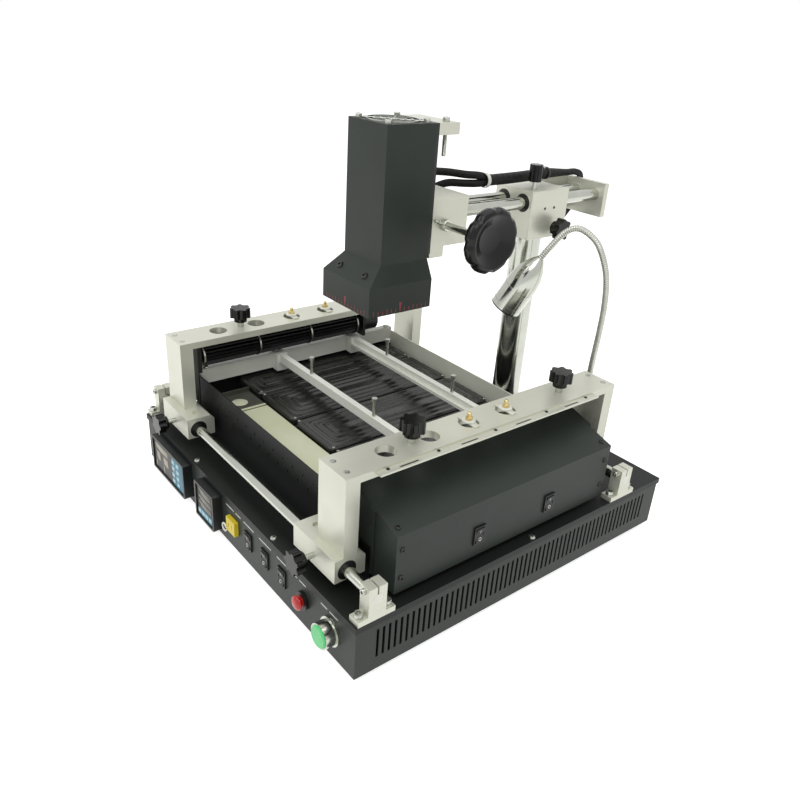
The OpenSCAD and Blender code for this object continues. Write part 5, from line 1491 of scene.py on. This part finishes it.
class REWORK_OT_head_cable(bpy.types.Operator):
    """Lay the head cable: two strands from the head, a tied bundle on the arm and a tail to its block"""

    bl_idname = "rework.head_cable"
    bl_label = "Head cable"

    STEPS = 6
    # Along the bundle, the sleeve thins from this place and over this length, down to a share of its size
    SLEEVE_END = 100
    SLEEVE_TAPER = 80
    CORE = 0.64
    # Three strands show through the sleeve as a shallow lobe each
    LOBE = 0.07
    # Each tie: its place along the route, and its radius
    TIES = (
        ("front_tie", 0, 8.6, white_nylon, "lens"),
        ("middle_tie", 4, 7.6, moulded_black, "black_plastic"),
        ("rear_tie", 9, 4.9, moulded_black, "black_plastic"),
    )
    TIE_HALF = 2.2
    TIE_THICK = 0.8
    TIE_BULGE = 0.2

    def execute(self, context):
        sizes = context.scene.rework_sizes
        for name, route in (("upper_strand", UPPER_STRAND), ("lower_strand", LOWER_STRAND)):
            mesh = bmesh.new()
            line = smooth_route([spot(*p) for p in route], self.STEPS)
            sweep(mesh, line, lambda run, angle: sizes.strand / 2, UP)
            strand = piece(name, mesh, braided_sleeve(), "rubber", crease=60)
            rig.blend(strand, "head", "slide_arm", start=spot(0, 0, 0), end=spot(0, 95, 0))
            self.declare(strand, line, sizes.strand)
        path = smooth_route([spot(*p) for p in BUNDLE_ROUTE], self.STEPS)
        split = BUNDLE_END * self.STEPS
        front = path[: split + 1]
        bundle = self.sleeve("cable_bundle", front, sizes.cable, self.SLEEVE_END * MM, "slide_arm")
        # The tail is all core: its sleeve has thinned before it starts
        tail = self.sleeve("cable_tail", path[split:], sizes.cable, -self.SLEEVE_TAPER * MM)
        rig.replaces(bundle, "head_cable")
        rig.blend(tail, "slide_arm", "arm", start=spot(0, 322, 0), end=spot(0, 236, 0))
        self.declare(bundle, front, sizes.cable, self.ties(path))
        self.declare(tail, path[: split - 1 : -1], self.CORE * sizes.cable)
        return {"FINISHED"}

    def sleeve(self, name, line, diameter, sleeve_end, body=None):
        """A lobed tube along a line, which tapers to the core past the end of its sleeve."""

        def radius(run, angle):
            taper = 1 - (1 - self.CORE) * ease((run - sleeve_end) / (self.SLEEVE_TAPER * MM))
            return diameter / 2 * taper * (1 - self.LOBE + self.LOBE * math.cos(3 * angle))

        mesh = bmesh.new()
        sweep(mesh, line, radius, RIGHT, 24)
        return piece(name, mesh, braided_sleeve(), "rubber", body, crease=60)

    def declare(self, thing, line, diameter, ties=()):
        """Say that a piece is a limp cord along a line, which goes back into the object."""
        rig.cord(
            thing,
            exit=line[0],
            length=sum((b - a).length for a, b in zip(line, line[1:])),
            diameter=diameter,
            far_end="object",
            stiffness="limp",
            path=line,
            with_pieces=ties,
        )

    def ties(self, path):
        """A white tie where the strands meet, and black ones along the bundle."""
        made = []
        half = self.TIE_HALF
        for name, place, reach, finish, slot in self.TIES:
            index = place * self.STEPS
            way = path[index + 1] - path[max(index - 1, 0)]
            inner, crown = reach - self.TIE_THICK, reach + self.TIE_BULGE
            band = [(inner, -half), (reach, -half), (crown, 0), (reach, half), (inner, half)]
            mesh = bmesh.new()
            turn(mesh, rounds(band, loop=True), facing(path[index], way), 32)
            made.append(piece(name, mesh, finish(), slot, "slide_arm"))
        return made


class REWORK_OT_head_marks(bpy.types.Operator):
    """Print the red scale round the hood's edge, and fit the top plate's stud and the drive shaft's collar"""

    bl_idname = "rework.head_marks"
    bl_label = "Head marks"

    HOOD_MIDDLE = 42.5
    TICK_PITCH = 6
    TICK_RISE = 1.5
    # Height, and half widths at the top and foot, of the wedge; then the ticks' heights and half width
    WEDGE = (10.5, 1.7, 0.5)
    TICKS = (5.5, 4)
    TICK_HALF = 0.45
    INK = (-0.02, 0.12)
    PLATE_THICK = 12
    STUD_RADIUS = 2.5
    STUD_LENGTH = 23
    THREAD_DEPTH = 0.3
    THREAD_STEP = 0.6
    COLLAR_GAP = 1
    COLLAR = ((4.05, 0), (6, 0), (6.4, 0.5), (6.4, 5.5), (6, 6), (4.05, 6))
    PIN = ((1.4, 0), (1.4, 5), (2.3, 5.2), (2.3, 7.6), (1.4, 7.8), (1.4, 12), (1.1, 12.4), (0, 12.4))
    PIN_WAY = (0, -0.93, 0.37)
    PIN_ALONG = 3
    PIN_ROOT = 6

    def execute(self, context):
        self.scale()
        self.stop_stud()
        self.collar()
        return {"FINISHED"}

    def scale(self):
        """Thin ticks on three faces of the hood, with a long wedge in the middle of each."""
        low, high = span("head_housing")
        mesh = bmesh.new()
        hood = high.x
        middle = low.y + self.HOOD_MIDDLE
        foot = self.TICK_RISE
        for corner, out, along in (
            (Vector((0, low.y, low.z)), FRONT, RIGHT),
            (Vector((hood, middle, low.z)), RIGHT, -FRONT),
            (Vector((-hood, middle, low.z)), -RIGHT, FRONT),
        ):
            for k in range(-6, 7):
                tall, wide, narrow = self.WEDGE
                if k:
                    tall = self.TICKS[0] if k % 3 == 0 else self.TICKS[1]
                    wide = narrow = self.TICK_HALF
                outline = [(-narrow, foot), (narrow, foot), (wide, tall + foot), (-wide, tall + foot)]
                base = corner + along * (k * self.TICK_PITCH)
                prism(mesh, [[base + along * u + UP * v + out * ink for u, v in outline] for ink in self.INK])
        piece("hood_scale", mesh, red_print(), "red_plastic", "head")

    def stop_stud(self):
        """The threaded end of the top plate's bolt, below the plate."""
        top = span("head_guide")[1].z - self.PLATE_THICK
        radius = self.STUD_RADIUS
        stud = [(radius, 0), (radius, 0.8)]
        stud += [(radius - self.THREAD_DEPTH * (k % 2), 1 + self.THREAD_STEP * k) for k in range(36)]
        stud += [(2, self.STUD_LENGTH), (0, self.STUD_LENGTH)]
        mesh = bmesh.new()
        turn(mesh, rounds(stud), facing(spot(*TOP_BOLT, top), -UP), 20)
        piece("top_plate_stud", mesh, plated_steel(), "satin_steel", "head")

    def collar(self):
        """A collar on the drive shaft, with a cross pin."""
        mesh = bmesh.new()
        start = spot(span("slide_housing")[1].x + self.COLLAR_GAP, WHEEL_AXIS.y, WHEEL_AXIS.z)
        turn(mesh, rounds(self.COLLAR, loop=True), facing(start, RIGHT), 32)
        way = Vector(self.PIN_WAY).normalized()
        root = start + (RIGHT * self.PIN_ALONG + way * self.PIN_ROOT) * MM
        turn(mesh, rounds(self.PIN), facing(root, way), 20)
        piece("drive_collar", mesh, ground_steel(), "polished_steel", "wheel")


class REWORK_OT_handwheel(bpy.types.Operator):
    """Turn the handwheel, and its shaft with the pinion"""

    bl_idname = "rework.handwheel"
    bl_label = "Handwheel"

    # Radius and height: radii of grip and brim are from the rim, and all heights from the face
    HUB = ((4, -31), (9, -31), (10.5, -29.5), (10.5, -23), (12.5, -19.5), (21, -16))
    GRIP = ((-4, -14.2), (-1.2, -12.2), (0, -8), (-0.6, -4), (-3.4, -0.8))
    BRIM = ((-6, 0), (-8.2, -0.7))
    DISH = ((16, -8.4), (13.5, -9.2), (0, -9.2))
    SHAFT_RADIUS = 4
    SHAFT_CHAMFER = 0.3
    SHAFT_INSET = 17
    PINION = ((4, -10, round_ring), (9, -10, gear_ring), (9, 10, gear_ring), (4, 10, round_ring))

    def execute(self, context):
        low, high = span("handwheel")
        along_x = Matrix(((0, 0, 1, 0), (-1, 0, 0, 0), (0, -1, 0, 0), (0, 0, 0, 1)))
        place = Matrix.Translation(spot(*WHEEL_AXIS)) @ along_x
        rim = (high.z - low.z) / 2
        face = high.x
        rows = [(r, face + h, round_ring) for r, h in self.HUB]
        rows += [(rim + r, face + h, grip_ring) for r, h in self.GRIP]
        rows += [(rim + r, face + h, round_ring) for r, h in self.BRIM]
        rows += [(r, face + h, round_ring) for r, h in self.DISH]
        mesh = bmesh.new()
        turn(mesh, shaped(rows), place, 96)
        wheel = piece("wheel_grip", mesh, bakelite(), "black_plastic", "wheel", crease=50)
        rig.replaces(wheel, "handwheel")

        radius, end = self.SHAFT_RADIUS, face - self.SHAFT_INSET
        shaft = [(0, low.x), (radius - self.SHAFT_CHAMFER, low.x), (radius, low.x + self.SHAFT_CHAMFER)]
        mesh = bmesh.new()
        turn(mesh, rounds(shaft + [(radius, end), (0, end)]), place, 32)
        turn(mesh, shaped(self.PINION), place, 128)
        piece("wheel_shaft", mesh, ground_steel(), "polished_steel", "wheel")
        return {"FINISHED"}


class REWORK_OT_sheet_parts(bpy.types.Operator):
    """Close the ends of both fans, paint shade into the strip's slits and dress the tray's bracket"""

    bl_idname = "rework.sheet_parts"
    bl_label = "Sheet parts"

    BLOCK_TOP = 111
    EAVES = 143.7
    # The right fan's end plates: two insets from the housing's side, the rise of the foot, and the fold
    PLATE_OUTER = 33
    PLATE_GAP = 36.6
    PLATE_FOOT = 2
    FOLD = 2
    SHEET = 1.4
    FRONT_FOLD = 0.4
    REAR_FOLD = 2.6
    # The strip's slits: first place, pitch and length, then x and z from the beam's upper edge
    SLIT_START = 24
    SLIT_PITCH = 76
    SLIT_LENGTH = 22
    SLIT_X = (-4, -2)
    SLIT_Z = (-3.9, -2.4)
    # The bracket: its top, the middle of its hole, the cap's rows and the folded edge
    BRACKET_TOP = 119
    HOLE = (-124.5, -151.5)
    CAP = ((10, -1.4), (10, -0.5), (9.6, -0.3), (0, -0.3))
    EDGE_X = (-105, -101.2)
    EDGE_HALF = 24.5
    EDGE_THICK = 1.2

    def execute(self, context):
        self.right_ends()
        self.left_end()
        self.strip_slit_painted_shade()
        self.bracket()
        return {"FINISHED"}

    def right_ends(self):
        """End plates of the right fan, which hang from the housing's roof by a folded edge."""
        low, high = span("right_fan_housing")
        inner, outer, gap = low.x, high.x - self.PLATE_OUTER, high.x - self.PLATE_GAP
        inner_top, outer_top = (self.EAVES + (high.x - x) * ROOF_SLOPE for x in (inner, outer))
        foot = low.z + self.PLATE_FOOT
        plate = [(inner, self.BLOCK_TOP), (gap, self.BLOCK_TOP), (gap, foot), (outer, foot)]
        plate += [(outer, outer_top), (inner, inner_top)]
        fold = [(inner, inner_top - self.FOLD), (outer, outer_top - self.FOLD)]
        fold += [(outer, outer_top), (inner, inner_top)]
        near, far = low.y - self.FRONT_FOLD, high.y + self.REAR_FOLD
        mesh = bmesh.new()
        self.sheet(mesh, plate, near - self.SHEET, near)
        self.sheet(mesh, fold, near, low.y)
        self.sheet(mesh, plate, far, far + self.SHEET)
        self.sheet(mesh, fold, high.y, far)
        piece("housing_end_plates", mesh, powder_coat(), "powder_coat", "right_carriage")

    def left_end(self):
        """The front end plate of the left fan's casing."""
        low, high = span("left_fan_casing")
        top = high.z - self.FOLD
        plate = [(low.x, self.BLOCK_TOP), (high.x, self.BLOCK_TOP), (high.x, top), (low.x, top)]
        mesh = bmesh.new()
        self.sheet(mesh, plate, low.y - self.SHEET, low.y)
        piece("left_fan_end_plate", mesh, blackened_steel(), "black_metal", "left_carriage")

    def sheet(self, mesh, outline, near, far):
        """A flat sheet with an outline in x and z, between two values of y."""
        prism(mesh, [[(x, y, z) for x, z in outline] for y in (near, far)])

    def strip_slit_painted_shade(self):
        """Dark slabs in the slits of the beam's strip, where the housing's lip shows through: painted shade."""
        edge, front = span("right_beam")[1], span("right_fan_housing")[0].y
        (x0, x1), (z0, z1) = self.SLIT_X, self.SLIT_Z
        mesh = bmesh.new()
        for k in range(4):
            y = front + self.SLIT_START + self.SLIT_PITCH * k
            far = spot(edge.x + x1, y + self.SLIT_LENGTH, edge.z + z1)
            slab(mesh, spot(edge.x + x0, y, edge.z + z0), far)
        piece("strip_slit_painted_shade", mesh, blackened_steel(), "black_metal", "right_carriage")

    def bracket(self):
        """A pale cap in the bracket's hole, and the bright folded edge beside the liner."""
        top, (hole_x, hole_y) = self.BRACKET_TOP, self.HOLE
        (x0, x1), half = self.EDGE_X, self.EDGE_HALF
        mesh = bmesh.new()
        turn(mesh, rounds(self.CAP), facing(spot(hole_x, hole_y, top), UP))
        slab(mesh, spot(x0, hole_y - half, top), spot(x1, hole_y + half, top + self.EDGE_THICK), 0.3 * MM)
        piece("bracket_trim", mesh, liner_sheet(), "liner_sheet", "base")


class REWORK_OT_stage(bpy.types.Operator):
    """Set the floor, the soft studio light and the camera"""

    bl_idname = "rework.stage"
    bl_label = "Stage"

    # Light that the floor and the world give: the floor where it is seen, the world where it isn't
    FLOOR_GLOW = 0.78
    WORLD_LEVEL = 0.46
    # Soft boxes in metres and watts, all aimed at one point
    BOXES = (
        ("key_box", (-0.6, -1.5, 1.7), 1.2, 8),
        ("fill_box", (0.9, -0.9, 2.0), 1.2, 11),
        ("top_box", (0.2, 0.4, 2.1), 1.6, 8),
    )
    AIM = Vector((0, 0, 0.18))
    # The camera that was fitted to the photograph
    AZIMUTH = math.radians(50.14)
    ELEVATION = math.radians(26.68)
    ROLL = math.radians(3.87)
    PLACE = (0.6481, -0.5862, 0.5591)
    SENSOR = 36
    LENS = 34.08

    def execute(self, context):
        self.floor(context)
        self.lights(context)
        self.camera(context)
        context.scene.view_settings.view_transform = "Standard"
        return {"FINISHED"}

    def floor(self, context):
        """A pale floor that runs out to white, and a white surround."""
        mesh = bmesh.new()
        bmesh.ops.create_grid(mesh, x_segments=1, y_segments=1, size=6.0)
        data = bpy.data.meshes.new("floor")
        mesh.to_mesh(data)
        mesh.free()
        floor = bpy.data.objects.new("floor", data)
        context.collection.objects.link(floor)
        material = bpy.data.materials.new("paper_backdrop_matt")
        material.use_nodes = True
        tree = material.node_tree
        shader = tree.nodes["Principled BSDF"]
        path = add_node(tree, "ShaderNodeLightPath")
        mirror = self.mirrored(tree, path)
        glow = {"To_Min": 0.0, "To_Max": self.FLOOR_GLOW}
        seen = add_node(tree, "ShaderNodeMapRange", {"Value": (mirror, "Value")}, **glow)
        tree.links.new(seen.outputs["Result"], shader.inputs["Emission Strength"])
        shader.inputs["Base Color"].default_value = linear("#f4f4f2")
        shader.inputs["Emission Color"].default_value = (1, 1, 1, 1)
        shader.inputs["Roughness"].default_value = 0.9
        shader.inputs["Specular IOR Level"].default_value = 0.0
        data.materials.append(material)
        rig.stage(floor)

        world = bpy.data.worlds.new("studio")
        world.use_nodes = True
        context.scene.world = world
        tree = world.node_tree
        back = tree.nodes["Background"]
        path = add_node(tree, "ShaderNodeLightPath")
        seen = self.mirrored(tree, path)
        levels = {"To_Min": self.WORLD_LEVEL, "To_Max": 1.0}
        level = add_node(tree, "ShaderNodeMapRange", {"Value": (seen, "Value")}, **levels)
        tree.links.new(level.outputs["Result"], back.inputs["Strength"])
        back.inputs["Color"].default_value = (1, 1, 1, 1)

    def mirrored(self, tree, path):
        """1 for what the camera sees straight, in a mirror or through glass."""
        other = {0: (path, "Is Glossy Ray"), 1: (path, "Is Transmission Ray")}
        mirror = add_node(tree, "ShaderNodeMath", other, operation="MAXIMUM")
        either = {0: (path, "Is Camera Ray"), 1: (mirror, "Value")}
        return add_node(tree, "ShaderNodeMath", either, operation="MAXIMUM")

    def lights(self, context):
        """Large soft boxes: key from the front left, fill from above the camera, and a top light behind."""
        for name, place, size, watts in self.BOXES:
            light = bpy.data.lights.new(name, "AREA")
            light.energy = watts
            light.size = size
            lamp = bpy.data.objects.new(name, light)
            lamp.location = place
            aim = self.AIM - lamp.location
            lamp.rotation_euler = aim.to_track_quat("-Z", "Y").to_euler()
            context.collection.objects.link(lamp)

    def camera(self, context):
        """The photograph's standpoint."""
        azimuth, roll = self.AZIMUTH, self.ROLL
        level, rise = math.cos(self.ELEVATION), math.sin(self.ELEVATION)
        back = Vector((math.sin(azimuth) * level, -math.cos(azimuth) * level, rise))
        right = Vector((math.cos(azimuth), math.sin(azimuth), 0))
        up = back.cross(right)
        across = math.cos(roll) * right + math.sin(roll) * up
        upward = -math.sin(roll) * right + math.cos(roll) * up
        data = bpy.data.cameras.new("photo_camera")
        data.sensor_width = self.SENSOR
        data.lens = self.LENS
        camera = bpy.data.objects.new("photo_camera", data)
        turned = Matrix((across, upward, back)).transposed().to_4x4()
        camera.matrix_world = Matrix.Translation(self.PLACE) @ turned
        context.collection.objects.link(camera)
        context.scene.camera = camera


class REWORK_PT_panel(bpy.types.Panel):
    """Sidebar panel with the settings and a button for each step"""

    bl_idname = "REWORK_PT_panel"
    bl_label = "Rework Station"
    bl_space_type = "VIEW_3D"
    bl_region_type = "UI"
    bl_category = "Rework"

    def draw(self, context):
        layout = self.layout
        for group in (context.scene.rework_look, context.scene.rework_sizes):
            for name in group.__annotations__:
                layout.prop(group, name)
        for operator in OPERATORS:
            layout.operator(operator.bl_idname)


OPERATORS = (
    REWORK_OT_stage,
    REWORK_OT_head_cable,
    REWORK_OT_finishes,
    REWORK_OT_heaters,
    REWORK_OT_fasteners,
    REWORK_OT_panel_faces,
    REWORK_OT_lamp,
    REWORK_OT_head_marks,
    REWORK_OT_handwheel,
    REWORK_OT_sheet_parts,
)
CLASSES = (ReworkLook, ReworkSizes, *OPERATORS, REWORK_PT_panel)


def register():
    for cls in CLASSES:
        bpy.utils.register_class(cls)
    bpy.types.Scene.rework_look = bpy.props.PointerProperty(type=ReworkLook)
    bpy.types.Scene.rework_sizes = bpy.props.PointerProperty(type=ReworkSizes)


def unregister():
    del bpy.types.Scene.rework_sizes
    del bpy.types.Scene.rework_look
    for cls in reversed(CLASSES):
        bpy.utils.unregister_class(cls)


def main():
    register()
    for operator in OPERATORS:
        group, name = operator.bl_idname.split(".")
        getattr(getattr(bpy.ops, group), name)()
    boxes = {"cad": CAD_BOX, "visual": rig.bounds()}
    with open("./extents.json", "w") as out:
        json.dump({name: [list(corner) for corner in box] for name, box in boxes.items()}, out)


if __name__ == "__main__":
    main()
